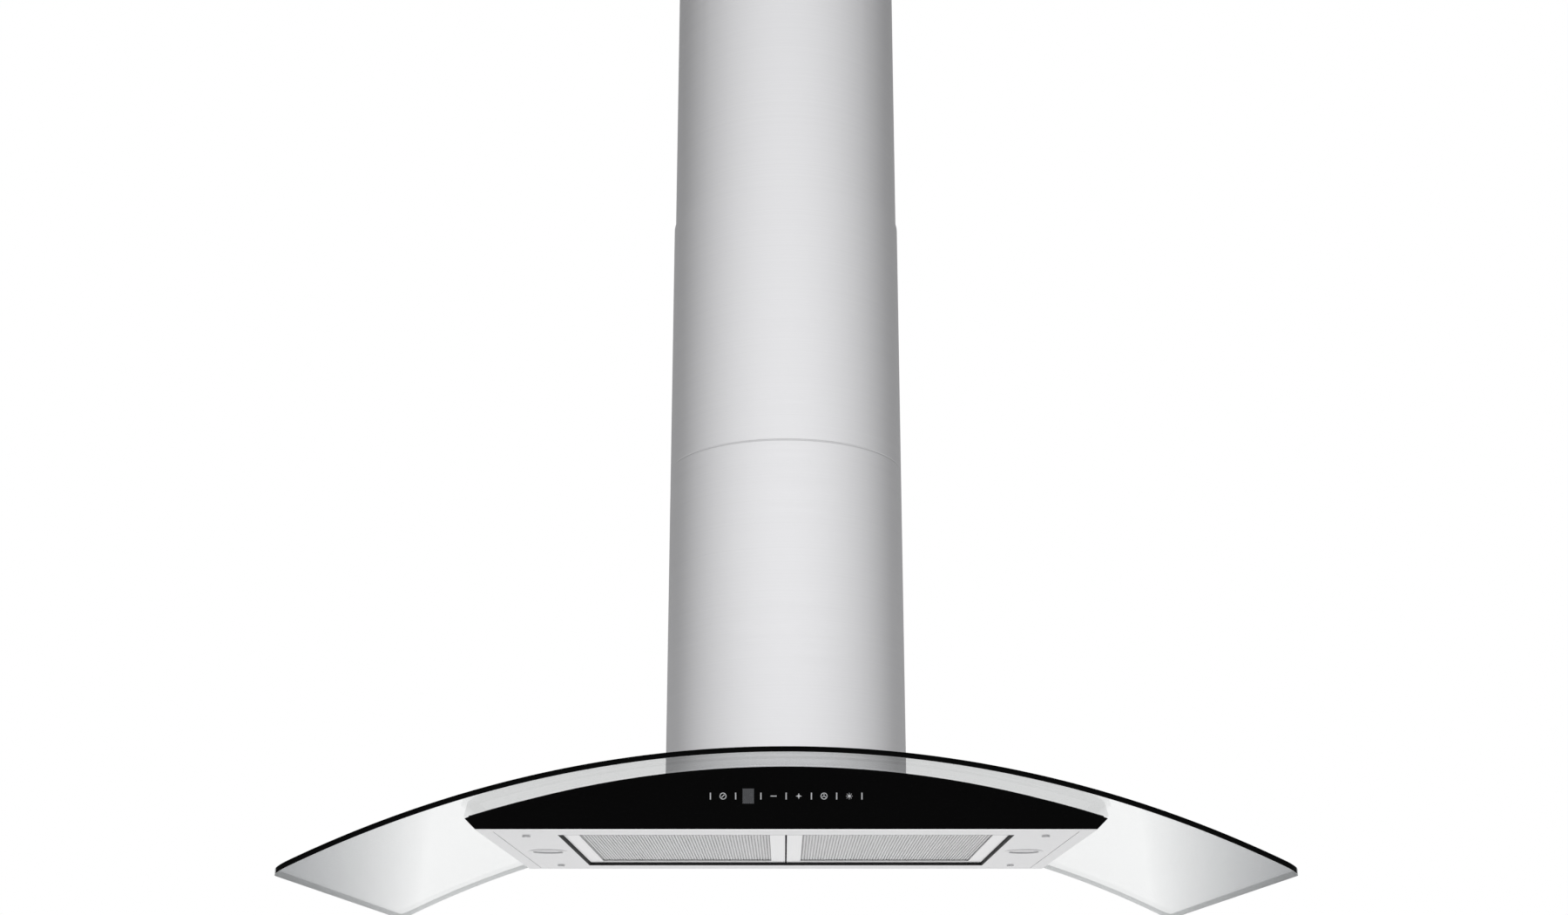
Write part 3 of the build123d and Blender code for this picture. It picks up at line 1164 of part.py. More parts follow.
for side, sx in SIDES:
    middle = sx * FILTER_X
    half = FILTER_WIDTH / 2
    with BuildPart() as filter_frame:
        add(slab(middle - half, middle + half, filter_front, filter_back, filter_bottom, filter_top))
        fillet(filter_frame.edges().filter_by(Axis.Z), 2)
        add(
            slab(
                middle - half + FILTER_SHEET,
                middle + half - FILTER_SHEET,
                filter_front + FILTER_SHEET,
                filter_back - FILTER_SHEET,
                *inner_z,
            ),
            mode=Mode.SUBTRACT,
        )
        add(
            slab(
                middle - half + FILTER_BORDER,
                middle + half - FILTER_BORDER,
                filter_front + FILTER_BORDER,
                filter_back - FILTER_BORDER,
                filter_bottom,
                filter_top,
            ),
            mode=Mode.SUBTRACT,
        )
        # Latch pocket: plates above and below, a wall behind, a window for the finger cup.
        zone = LATCH_ZONE_WIDTH / 2
        for low, high in ((filter_bottom, inner_z[0]), (inner_z[1], filter_top)):
            add(slab(middle - zone, middle + zone, filter_front + 2, pocket_back, low, high))
        add(slab(middle - zone, middle + zone, pocket_back - FILTER_SHEET, pocket_back, *inner_z))
        window = LATCH_WINDOW_WIDTH / 2
        add(slab(middle - window, middle + window, *window_y, filter_bottom, inner_z[0]), mode=Mode.SUBTRACT)
        # Slots in the front wall for the latch bolts.
        for offset in (-BOLT_OFFSET, BOLT_OFFSET):
            add(
                slab(
                    middle + offset - LATCH_BOLT_WIDTH / 2 - LATCH_SLOT_PLAY[0],
                    middle + offset + LATCH_BOLT_WIDTH / 2 + LATCH_SLOT_PLAY[0],
                    filter_front,
                    filter_front + FILTER_SHEET,
                    bolt_z[0] - LATCH_SLOT_PLAY[1],
                    bolt_z[1] + LATCH_PLAY,
                ),
                mode=Mode.SUBTRACT,
            )
        # Two tabs over the bottom panel's rear edge, about which the filter tips.
        for offset in (-TAB_OFFSET, TAB_OFFSET):
            add(
                slab(
                    middle + offset - TAB_WIDTH / 2,
                    middle + offset + TAB_WIDTH / 2,
                    filter_back - FILTER_SHEET,
                    filter_back + TAB_REACH,
                    rim_top + TAB_GAP,
                    rim_top + TAB_GAP + TAB_SHEET,
                )
            )
    save(filter_frame.part, f"filter_frame_{side}")

    with BuildPart() as filter_mesh:
        gap = FILTER_SHEET + MESH_GAP
        add(
            slab(
                middle - half + gap,
                middle + half - gap,
                filter_front + gap,
                filter_back - gap,
                inner_z[0],
                inner_z[1],
            )
        )
        add(
            slab(
                middle - zone - 1,
                middle + zone + 1,
                filter_front,
                pocket_back + MESH_GAP,
                filter_bottom,
                filter_top,
            ),
            mode=Mode.SUBTRACT,
        )
    save(filter_mesh.part, f"filter_mesh_{side}")

    with BuildPart() as latch:
        add(slab(middle - SLIDER_HALF_WIDTH, middle + SLIDER_HALF_WIDTH, *slider_y, *slider_z))
        for offset in (-BOLT_OFFSET, BOLT_OFFSET):
            add(
                slab(
                    middle + offset - LATCH_BOLT_WIDTH / 2,
                    middle + offset + LATCH_BOLT_WIDTH / 2,
                    filter_front - LATCH_BOLT_REACH,
                    slider_y[1],
                    *bolt_z,
                )
            )
        # Finger cup through the window, open to below.
        cup = window - CUP_PLAY[0]
        cup_y = (window_y[0] + CUP_PLAY[1], window_y[1] - LATCH_TRAVEL - CUP_PLAY[1])
        cup_bottom = filter_bottom - CUP_STAND
        add(slab(middle - cup, middle + cup, *cup_y, cup_bottom, slider_z[1]))
        add(
            slab(
                middle - cup + CUP_WALL[0],
                middle + cup - CUP_WALL[0],
                cup_y[0] + CUP_WALL[1],
                cup_y[1] - CUP_WALL[1],
                cup_bottom,
                slider_z[1] - 1,
            ),
            mode=Mode.SUBTRACT,
        )
    save(latch.part, f"filter_latch_{side}")

    # A pair of coil springs pushes the slider forward.
    with BuildPart() as springs:
        length = pocket_back - FILTER_SHEET - slider_y[1] - 2 * SPRING_END_GAP
        for offset in (-BOLT_OFFSET, BOLT_OFFSET):
            with BuildLine():
                coil = Helix(
                    pitch=SPRING_PITCH,
                    height=length - 2 * SPRING_WIRE,
                    radius=SPRING_RADIUS,
                    center=(
                        middle + offset,
                        slider_y[1] + SPRING_END_GAP + SPRING_WIRE,
                        filter_bottom + FILTER_HEIGHT / 2,
                    ),
                    direction=(0, 1, 0),
                )
            with BuildSketch(Plane(origin=coil @ 0, z_dir=coil % 0)):
                Circle(SPRING_WIRE)
            sweep(path=coil)
    save(springs.part, f"latch_springs_{side}")
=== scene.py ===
"""Looks of an island range hood: a bent glass canopy, a round brushed chimney and a black glass front.

Everything is in metres in the frame of the CAD part: the ceiling is at z = 0 and the front faces -Y.
"""

import json
import math

import bmesh
import bpy
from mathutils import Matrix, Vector

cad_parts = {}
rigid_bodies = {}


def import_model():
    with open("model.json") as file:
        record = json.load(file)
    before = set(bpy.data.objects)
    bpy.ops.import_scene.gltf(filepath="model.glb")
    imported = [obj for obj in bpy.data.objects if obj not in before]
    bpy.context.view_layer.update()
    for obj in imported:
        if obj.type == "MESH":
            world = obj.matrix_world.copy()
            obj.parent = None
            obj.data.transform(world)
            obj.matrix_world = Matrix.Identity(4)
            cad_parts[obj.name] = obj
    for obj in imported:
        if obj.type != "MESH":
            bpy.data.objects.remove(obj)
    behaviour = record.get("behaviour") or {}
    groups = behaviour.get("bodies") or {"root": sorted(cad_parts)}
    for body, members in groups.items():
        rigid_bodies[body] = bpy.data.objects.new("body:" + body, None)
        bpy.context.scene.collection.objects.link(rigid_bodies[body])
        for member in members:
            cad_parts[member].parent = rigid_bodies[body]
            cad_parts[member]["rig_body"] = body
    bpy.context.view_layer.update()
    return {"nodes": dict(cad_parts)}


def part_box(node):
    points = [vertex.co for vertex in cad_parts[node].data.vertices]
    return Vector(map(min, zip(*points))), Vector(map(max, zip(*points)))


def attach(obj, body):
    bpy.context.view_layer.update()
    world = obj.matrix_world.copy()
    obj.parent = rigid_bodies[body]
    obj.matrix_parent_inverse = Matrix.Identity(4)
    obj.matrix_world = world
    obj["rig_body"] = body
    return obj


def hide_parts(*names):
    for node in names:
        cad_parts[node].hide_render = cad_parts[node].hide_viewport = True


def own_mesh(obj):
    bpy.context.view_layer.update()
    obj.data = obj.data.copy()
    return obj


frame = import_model()
nodes = frame["nodes"]

MM = 0.001

# Glass canopy, as the CAD node says: bent about a line along Y.
GLASS_LOW, GLASS_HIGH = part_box("glass_canopy")
GLASS_RADIUS = 1.0
GLASS_THICKNESS = 5 * MM
GLASS_CORNER = 14 * MM
GLASS_HOLE = 104 * MM
GLASS_CHAMFER = 0.15 * MM
GLASS_AXIS_Z = GLASS_HIGH.z - GLASS_RADIUS

# Its mesh: vertices along the outline, rings from the hole to the edge, steps around a corner.
OUTLINE_STEP = 10 * MM
GLASS_RINGS = 20
CORNER_STEPS = 8

# Its look: the mirror's share from face-on to grazing, and a painted shade towards the front corners,
# which stands in for the dim reflections the wings show there and grows with the distance |x| minus the skew
# times y from the middle.
MIRROR_SHARE = (0.03, 0.42)
MIRROR_POWER = 5
PAINTED_SHADE_SKEW = 0.2
PAINTED_SHADE_START = 0.37
PAINTED_SHADE_END = GLASS_HIGH.x - PAINTED_SHADE_SKEW * GLASS_LOW.y
CLEAR_TINT = (0.99, 0.995, 0.995)
PAINTED_SHADE_TINT = (0.54, 0.55, 0.56)

# Black glass and the front edge hardly reflect.
DULL_SPECULAR = 0.03

# The rolled line around the lower chimney cover.
ROLLED_LINE_Z = GLASS_HIGH.z + 0.342
ROLLED_LINE_HALF_WIDTH = 1.2 * MM
ROLLED_LINE_DEPTH = 0.3 * MM
BRUSHED_DEPTH = 0.008 * MM

# Black glass panels: the face leans out towards its top.
BODY_BOTTOM_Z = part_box("body_shell")[0].z
FACE_BOTTOM_Y = -198 * MM
FACE_LEAN = math.atan(18 / 58)
ICON_HEIGHT = 30.5 * MM
ICON_PITCH = 23.5 * MM
ICON_CELLS = 6
ICON_SIZE = 6.4 * MM
ICON_STROKE = 0.75 * MM
SEPARATOR_WIDTH = 1.1 * MM
DISPLAY_CELL = 1
DISPLAY_WIDTH = 10.6 * MM
DISPLAY_HEIGHT = 14 * MM
PRINT_DEPTH = 0.12 * MM
CIRCLE_STEPS = 32

# Filter strands and the two sheets behind them.
STRAND = 1.3 * MM
STRAND_SHEET = 0.4 * MM
STRAND_PITCH = 3.0 * MM
STRAND_STEP = 3.2 * MM
STRAND_DEPTH = 0.7 * MM
LAYER_STEP = 1.3 * MM
DIMPLE_PITCH = 3.0 * MM
DIMPLE = 0.4 * MM
SHEET_DEPTH = 3.0 * MM

# Latch springs.
SPRING_RADIUS = 2.2 * MM
SPRING_WIRE = 0.35 * MM
SPRING_PITCH = 1.9 * MM
SPRING_STEPS_PER_TURN = 24
SPRING_SIDES = 8

# Lamp front.
LENS_RINGS = 36
LENS_STEPS = 72
LENS_RECESS = 0.25 * MM
LENS_RIPPLE = 0.06 * MM

# Sheet-metal edges are rounded where they turn by more than this.
EDGE_ANGLE = math.radians(35)
EDGE_SEGMENTS = 2

# Stage, in metres, watts and degrees, with the camera's sensor and lens in millimetres. The room's
# brightness goes from the first value to the second as the direction goes from the third to the
# fourth: it falls from the front to the rear and from the horizon upwards.
FLOOR_Z = -2.5
FLOOR_SIZE = 160
ROOM_ALONG_Y = (1.36, 0.38, -1, 0.55)
ROOM_ALONG_Z = (1.05, 0.58, 0.0, 0.75)
WASH_PLACE = Vector((0, 8.0, 2.6))
WASH_TARGET = Vector((0, 8.5, FLOOR_Z))
WASH_SIZE = (16, 11)
WASH_POWER = 620
SENSOR_WIDTH = 36
LENS_LENGTH = 44.2
CAMERA_SHIFT = 0.03
CAMERA_PLACE = (-0.002, -2.005, GLASS_HIGH.z - 0.260)
CAMERA_PITCH = 15.82


# ---------------------------------------------------------------- materials


def plain_shader(name, colour, metallic, roughness):
    """A material with one Principled shader, whose plain values are set."""
    material = bpy.data.materials.new(name)
    material.use_nodes = True
    principled = material.node_tree.nodes["Principled BSDF"]
    principled.inputs["Base Color"].default_value = (*colour, 1)
    principled.inputs["Metallic"].default_value = metallic
    principled.inputs["Roughness"].default_value = roughness
    return material, principled


def object_place(tree, stretch):
    """The point on the object in metres, stretched along each axis."""
    place = tree.nodes.new("ShaderNodeTexCoord")
    mapping = tree.nodes.new("ShaderNodeMapping")
    mapping.inputs["Scale"].default_value = stretch
    tree.links.new(place.outputs["Object"], mapping.inputs["Vector"])
    return mapping.outputs["Vector"]


def noise(tree, stretch, detail=3):
    """Noise of about stretch grains in a metre along each axis."""
    texture = tree.nodes.new("ShaderNodeTexNoise")
    texture.inputs["Scale"].default_value = 1
    texture.inputs["Detail"].default_value = detail
    texture.inputs["Roughness"].default_value = 0.55
    tree.links.new(object_place(tree, stretch), texture.inputs["Vector"])
    return texture.outputs["Fac"]


def ranged(tree, value, low, high, start=0.3, end=0.7):
    """value moved from start..end to low..high."""
    node = tree.nodes.new("ShaderNodeMapRange")
    node.inputs["From Min"].default_value = start
    node.inputs["From Max"].default_value = end
    node.inputs["To Min"].default_value = low
    node.inputs["To Max"].default_value = high
    tree.links.new(value, node.inputs["Value"])
    return node.outputs["Result"]


def blended(tree, factor, first, second):
    """The colour first where factor is 0, and second where it is 1."""
    node = tree.nodes.new("ShaderNodeMix")
    node.data_type = "RGBA"
    # The colour sockets share their names with the other types' sockets.
    colour_a, colour_b = [s for s in node.inputs if s.type == "RGBA"]
    colour_a.default_value = (*first, 1)
    colour_b.default_value = (*second, 1)
    tree.links.new(factor, node.inputs["Factor"])
    return [s for s in node.outputs if s.type == "RGBA"][0]


def added(tree, first, second, share=0.5):
    """first plus share of second."""
    node = tree.nodes.new("ShaderNodeMath")
    node.operation = "MULTIPLY_ADD"
    node.inputs[1].default_value = share
    tree.links.new(second, node.inputs[0])
    tree.links.new(first, node.inputs[2])
    return node.outputs["Value"]


def place_along(tree, output, axis):
    """One coordinate of a texture coordinate's output, such as Object."""
    place = tree.nodes.new("ShaderNodeTexCoord")
    split = tree.nodes.new("ShaderNodeSeparateXYZ")
    tree.links.new(place.outputs[output], split.inputs["Vector"])
    return split.outputs[axis]


def reckoned(tree, operation, value, other=0.0):
    """A Math node on a linked value and a plain one."""
    node = tree.nodes.new("ShaderNodeMath")
    node.operation = operation
    node.inputs[1].default_value = other
    tree.links.new(value, node.inputs[0])
    return node.outputs["Value"]


def raised(tree, principled, height, depth):
    """Bump of the given depth in metres."""
    node = tree.nodes.new("ShaderNodeBump")
    node.inputs["Distance"].default_value = depth
    tree.links.new(height, node.inputs["Height"])
    tree.links.new(node.outputs["Normal"], principled.inputs["Normal"])


def grained(name, colour, metallic, roughness, grain, depth, vary=0.06, rough_vary=0.12):
    """A surface whose colour, roughness and relief follow one noise, stretched by grain."""
    material, principled = plain_shader(name, colour, metallic, roughness)
    tree = material.node_tree
    fine = noise(tree, grain)
    broad = noise(tree, [g / 7 for g in grain])
    both = added(tree, fine, broad, 0.5)
    darker = [c * (1 - vary) for c in colour]
    lighter = [min(1, c * (1 + vary)) for c in colour]
    shade = ranged(tree, both, 0, 1, 0.5, 1.0)
    tree.links.new(blended(tree, shade, darker, lighter), principled.inputs["Base Color"])
    tree.links.new(
        ranged(tree, both, roughness * (1 - rough_vary), roughness * (1 + rough_vary), 0.5, 1.0),
        principled.inputs["Roughness"],
    )
    raised(tree, principled, both, depth)
    return material, principled


def brushed_steel(name, grain, colour=(0.80, 0.80, 0.81), roughness=0.33):
    """Stainless sheet, brushed along the axis where grain is smallest."""
    return grained(name, colour, 1.0, roughness, grain, BRUSHED_DEPTH, 0.02)[0]


def chimney_sheet():
    """Stainless sheet brushed around Z, with one fine rolled line around the lower cover."""
    material, principled = grained(
        "chimney_steel", (0.80, 0.80, 0.815), 1.0, 0.36, (3, 3, 1300), BRUSHED_DEPTH, 0.02
    )
    tree = material.node_tree
    tangent = tree.nodes.new("ShaderNodeTangent")
    tangent.direction_type = "RADIAL"
    tangent.axis = "Z"
    tree.links.new(tangent.outputs["Tangent"], principled.inputs["Tangent"])
    principled.inputs["Anisotropic"].default_value = 0.4
    principled.inputs["Anisotropic Rotation"].default_value = 0.25
    gap = reckoned(tree, "SUBTRACT", place_along(tree, "Object", "Z"), ROLLED_LINE_Z)
    groove = ranged(tree, reckoned(tree, "ABSOLUTE", gap), 0, 1, 0, ROLLED_LINE_HALF_WIDTH)
    grain_bump = principled.inputs["Normal"].links[0].from_node
    line_bump = tree.nodes.new("ShaderNodeBump")
    line_bump.inputs["Distance"].default_value = ROLLED_LINE_DEPTH
    tree.links.new(groove, line_bump.inputs["Height"])
    tree.links.new(grain_bump.outputs["Normal"], line_bump.inputs["Normal"])
    tree.links.new(line_bump.outputs["Normal"], principled.inputs["Normal"])
    return material


def black_glass():
    """Back-painted glass: black, with a polished skin that has faint waves and dust."""
    material, principled = plain_shader("black_glass", (0.002, 0.002, 0.0022), 0.0, 0.06)
    principled.inputs["Specular IOR Level"].default_value = DULL_SPECULAR
    tree = material.node_tree
    tree.links.new(ranged(tree, noise(tree, (30, 30, 30)), 0.045, 0.09), principled.inputs["Roughness"])
    dust = ranged(tree, noise(tree, (900, 900, 900)), 0, 1)
    tree.links.new(
        blended(tree, dust, (0.0018,) * 3, (0.003, 0.003, 0.0032)), principled.inputs["Base Color"]
    )
    raised(tree, principled, noise(tree, (9, 9, 9), 1), 0.05 * MM)
    return material


def clear_glass():
    """Sheet glass: see-through, a mirror at a grazing angle, and greyed by a painted shade towards its front
    corners.
    """
    material = bpy.data.materials.new("clear_glass")
    material.use_nodes = True
    tree = material.node_tree
    output = tree.nodes["Material Output"]
    tree.nodes.remove(tree.nodes["Principled BSDF"])
    see_through = tree.nodes.new("ShaderNodeBsdfTransparent")
    mirror = tree.nodes.new("ShaderNodeBsdfGlossy")
    join = tree.nodes.new("ShaderNodeMixShader")
    tree.links.new(join.outputs["Shader"], output.inputs["Surface"])
    tree.links.new(see_through.outputs["BSDF"], join.inputs[1])
    tree.links.new(mirror.outputs["BSDF"], join.inputs[2])

    facing = tree.nodes.new("ShaderNodeLayerWeight")
    facing.inputs["Blend"].default_value = 0.5
    steep = reckoned(tree, "POWER", facing.outputs["Facing"], MIRROR_POWER)
    tree.links.new(ranged(tree, steep, *MIRROR_SHARE, 0, 1), join.inputs["Fac"])

    # Painted shade: the see-through colour greys towards the front corners, standing in for the dim
    # reflections the wings show there.
    away = reckoned(tree, "ABSOLUTE", place_along(tree, "Object", "X"))
    painted_shade_reach = added(tree, away, place_along(tree, "Object", "Y"), -PAINTED_SHADE_SKEW)
    painted_shade = ranged(tree, painted_shade_reach, 0, 1, PAINTED_SHADE_START, PAINTED_SHADE_END)
    tree.links.new(blended(tree, painted_shade, CLEAR_TINT, PAINTED_SHADE_TINT), see_through.inputs["Color"])
    tree.links.new(ranged(tree, noise(tree, (25, 25, 25)), 0.05, 0.08), mirror.inputs["Roughness"])
    return material


def front_edge():
    """The polished front edge of the sheet, coloured black: painted shade for the dark look the edge has
    when it is seen along the sheet.
    """
    material, principled = plain_shader("front_edge", (0.001, 0.0012, 0.0012), 0.0, 0.1)
    principled.inputs["Specular IOR Level"].default_value = DULL_SPECULAR
    tree = material.node_tree
    tree.links.new(ranged(tree, noise(tree, (200, 200, 200)), 0.06, 0.16), principled.inputs["Roughness"])
    raised(tree, principled, noise(tree, (400, 400, 400)), 0.01 * MM)
    return material


def ground_edge():
    """The ground side and rear edges, and the chamfer under the front edge."""
    return grained("ground_edge", (0.78, 0.80, 0.80), 0.0, 0.45, (900, 900, 900), 0.01 * MM)[0]


def moulded(name, colour, roughness):
    """Moulded plastic or rubber with a fine texture."""
    return grained(name, colour, 0.0, roughness, (500, 500, 500), 0.03 * MM)[0]


def cast_metal(name, colour, roughness, metallic=0.9, scale=350):
    """Cast or turned metal with a fine, even grain."""
    return grained(name, colour, metallic, roughness, (scale, scale, scale), 0.04 * MM, 0.1)[0]


def zinc_sheet():
    """Zinc-coated sheet with soft spangle."""
    material, principled = plain_shader("zinc_sheet", (0.60, 0.62, 0.64), 0.85, 0.42)
    tree = material.node_tree
    spangle = tree.nodes.new("ShaderNodeTexVoronoi")
    spangle.inputs["Scale"].default_value = 1
    tree.links.new(object_place(tree, (130, 130, 130)), spangle.inputs["Vector"])
    level = tree.nodes.new("ShaderNodeRGBToBW")
    tree.links.new(spangle.outputs["Color"], level.inputs["Color"])
    tree.links.new(
        blended(tree, level.outputs["Val"], (0.52, 0.54, 0.56), (0.68, 0.69, 0.71)),
        principled.inputs["Base Color"],
    )
    tree.links.new(ranged(tree, level.outputs["Val"], 0.34, 0.5, 0, 1), principled.inputs["Roughness"])
    raised(tree, principled, noise(tree, (260, 260, 260)), 0.02 * MM)
    return material


def lamp_lens():
    """The lamp's frosted front with fine rings."""
    material, principled = plain_shader("lamp_glass", (0.82, 0.83, 0.85), 0.0, 0.3)
    principled.inputs["Coat Weight"].default_value = 0.5
    principled.inputs["Coat Roughness"].default_value = 0.08
    tree = material.node_tree
    frost = ranged(tree, noise(tree, (300, 300, 300)), 0, 1)
    tree.links.new(
        blended(tree, frost, (0.76, 0.77, 0.79), (0.86, 0.87, 0.88)), principled.inputs["Base Color"]
    )
    tree.links.new(ranged(tree, noise(tree, (700, 700, 700)), 0.22, 0.36), principled.inputs["Roughness"])
    raised(tree, principled, noise(tree, (900, 900, 900)), 0.02 * MM)
    return material


def laminated(name, colour):
    """Stacked sheets of a motor core: fine lines across the Y axis."""
    return grained(name, colour, 0.7, 0.5, (60, 1400, 60), 0.05 * MM, 0.15)[0]


def circuit_board():
    """Green solder mask."""
    return grained("board", (0.012, 0.09, 0.035), 0.0, 0.45, (500, 500, 500), 0.03 * MM, 0.3)[0]


def dark_display():
    """A switched-off display: dark grey with a faint dot grid."""
    material, principled = plain_shader("display", (0.075, 0.077, 0.085), 0.0, 0.25)
    tree = material.node_tree
    grid = tree.nodes.new("ShaderNodeTexChecker")
    grid.inputs["Scale"].default_value = 1
    grid.inputs["Color1"].default_value = (0.05, 0.052, 0.058, 1)
    grid.inputs["Color2"].default_value = (0.11, 0.112, 0.12, 1)
    tree.links.new(object_place(tree, (1400, 1400, 1400)), grid.inputs["Vector"])
    tree.links.new(grid.outputs["Color"], principled.inputs["Base Color"])
    tree.links.new(ranged(tree, noise(tree, (300, 300, 300)), 0.2, 0.3), principled.inputs["Roughness"])
    raised(tree, principled, noise(tree, (900, 900, 900)), 0.01 * MM)
    return material


def printed():
    """Light-grey print on the panel."""
    return grained("print_grey", (0.62, 0.63, 0.65), 0.0, 0.45, (1500, 1500, 1500), 0.01 * MM, 0.1)[0]


def floor_paint():
    """Plain pale floor."""
    return grained("floor_paint", (0.86, 0.86, 0.86), 0.0, 0.7, (3, 3, 3), 0.2 * MM, 0.01)[0]


along_x_grain = (5, 700, 700)
along_y_grain = (700, 5, 700)
finishes = {
    "brushed_steel": brushed_steel("brushed_steel", along_x_grain),
    "zinc_steel": zinc_sheet(),
    "screw_steel": cast_metal("screw_steel", (0.72, 0.72, 0.73), 0.22, 1.0, 900),
    "clear_glass": clear_glass(),
    "black_glass": black_glass(),
    "lamp_glass": lamp_lens(),
    "black_rubber": moulded("black_rubber", (0.012, 0.012, 0.013), 0.75),
    "nylon": moulded("nylon", (0.75, 0.73, 0.67), 0.45),
    "black_plastic": moulded("black_plastic", (0.018, 0.018, 0.02), 0.5),
    "grey_plastic": moulded("grey_plastic", (0.16, 0.165, 0.175), 0.5),
    "white_plastic": moulded("white_plastic", (0.74, 0.74, 0.72), 0.4),
    "cast_ring": cast_metal("cast_ring", (0.52, 0.52, 0.54), 0.38),
    "filter_aluminium": brushed_steel("filter_aluminium", along_y_grain, (0.97, 0.97, 0.975), 0.42),
    "motor_steel": cast_metal("motor_steel", (0.36, 0.37, 0.39), 0.4),
    "laminations": laminated("laminations", (0.12, 0.12, 0.13)),
    "board": circuit_board(),
    "display": dark_display(),
    "spring_steel": cast_metal("spring_steel", (0.6, 0.6, 0.6), 0.25, 1.0, 900),
}
chimney_steel = chimney_sheet()
latch_steel = brushed_steel("latch_steel", along_x_grain, (0.84, 0.84, 0.85), 0.24)
edge_painted_black = front_edge()
edge_ground = ground_edge()
print_grey = printed()


def dress_nodes():
    """Give every CAD node the finish of its material slot."""
    for node in nodes.values():
        slot_name = node.material_slots[0].material.name
        node.material_slots[0].material = finishes[slot_name]
    for name in ("upper_chimney", "lower_chimney"):
        nodes[name].material_slots[0].material = chimney_steel


# ---------------------------------------------------------------- mesh work


def new_piece(name, mesh, materials, body):
    """An object for a finished mesh, riding on a CAD body."""
    piece = bpy.data.objects.new(name, mesh)
    bpy.context.scene.collection.objects.link(piece)
    for material in materials:
        mesh.materials.append(material)
    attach(piece, body)
    return piece


def mesh_from(name, work, smooth=True):
    """A finished mesh from a bmesh, which is freed."""
    mesh = bpy.data.meshes.new(name)
    work.to_mesh(mesh)
    work.free()
    for polygon in mesh.polygons:
        polygon.use_smooth = smooth
    return mesh


def softened(node_name, width, material=None):
    """A copy of a folded-sheet node with its edges rounded, which stands for the node."""
    node = nodes[node_name]
    work = bmesh.new()
    work.from_mesh(node.data)
    bmesh.ops.remove_doubles(work, verts=work.verts, dist=0.001 * MM)
    bmesh.ops.dissolve_limit(work, angle_limit=math.radians(0.5), verts=work.verts, edges=work.edges)
    mesh = mesh_from(node_name + "_soft", work)
    finish = material or node.material_slots[0].material
    piece = new_piece(node_name + "_soft", mesh, [finish], node["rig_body"])
    bevel = piece.modifiers.new("Bevel", "BEVEL")
    bevel.width = width
    bevel.segments = EDGE_SEGMENTS
    bevel.limit_method = "ANGLE"
    bevel.angle_limit = EDGE_ANGLE
    bevel.use_clamp_overlap = True
    # Large flat faces keep their own normal, so that no shade runs across them.
    weighted = piece.modifiers.new("Weighted normals", "WEIGHTED_NORMAL")
    weighted.mode = "FACE_AREA"
    weighted.weight = 100
    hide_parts(node_name)


def bent_z(x, depth):
    """Height of the bent glass at x, depth below its upper face."""
    radius = GLASS_RADIUS - depth
    return GLASS_AXIS_Z + math.sqrt(radius**2 - x**2)


def rounded_outline(half_x, half_y, corner, step):
    """Points of a rounded rectangle, counter-clockwise from the start of its +X +Y corner."""
    points = []
    corners = ((1, 1), (-1, 1), (-1, -1), (1, -1))
    for index, (sx, sy) in enumerate(corners):
        centre = Vector((sx * (half_x - corner), sy * (half_y - corner)))
        for k in range(CORNER_STEPS + 1):
            angle = math.radians(90 * (index + k / CORNER_STEPS))
            points.append(centre + corner * Vector((math.cos(angle), math.sin(angle))))
    outline = []
    for here, after in zip(points, points[1:] + points[:1]):
        pieces = max(1, round((after - here).length / step))
        outline += [here.lerp(after, k / pieces) for k in range(pieces)]
    return outline


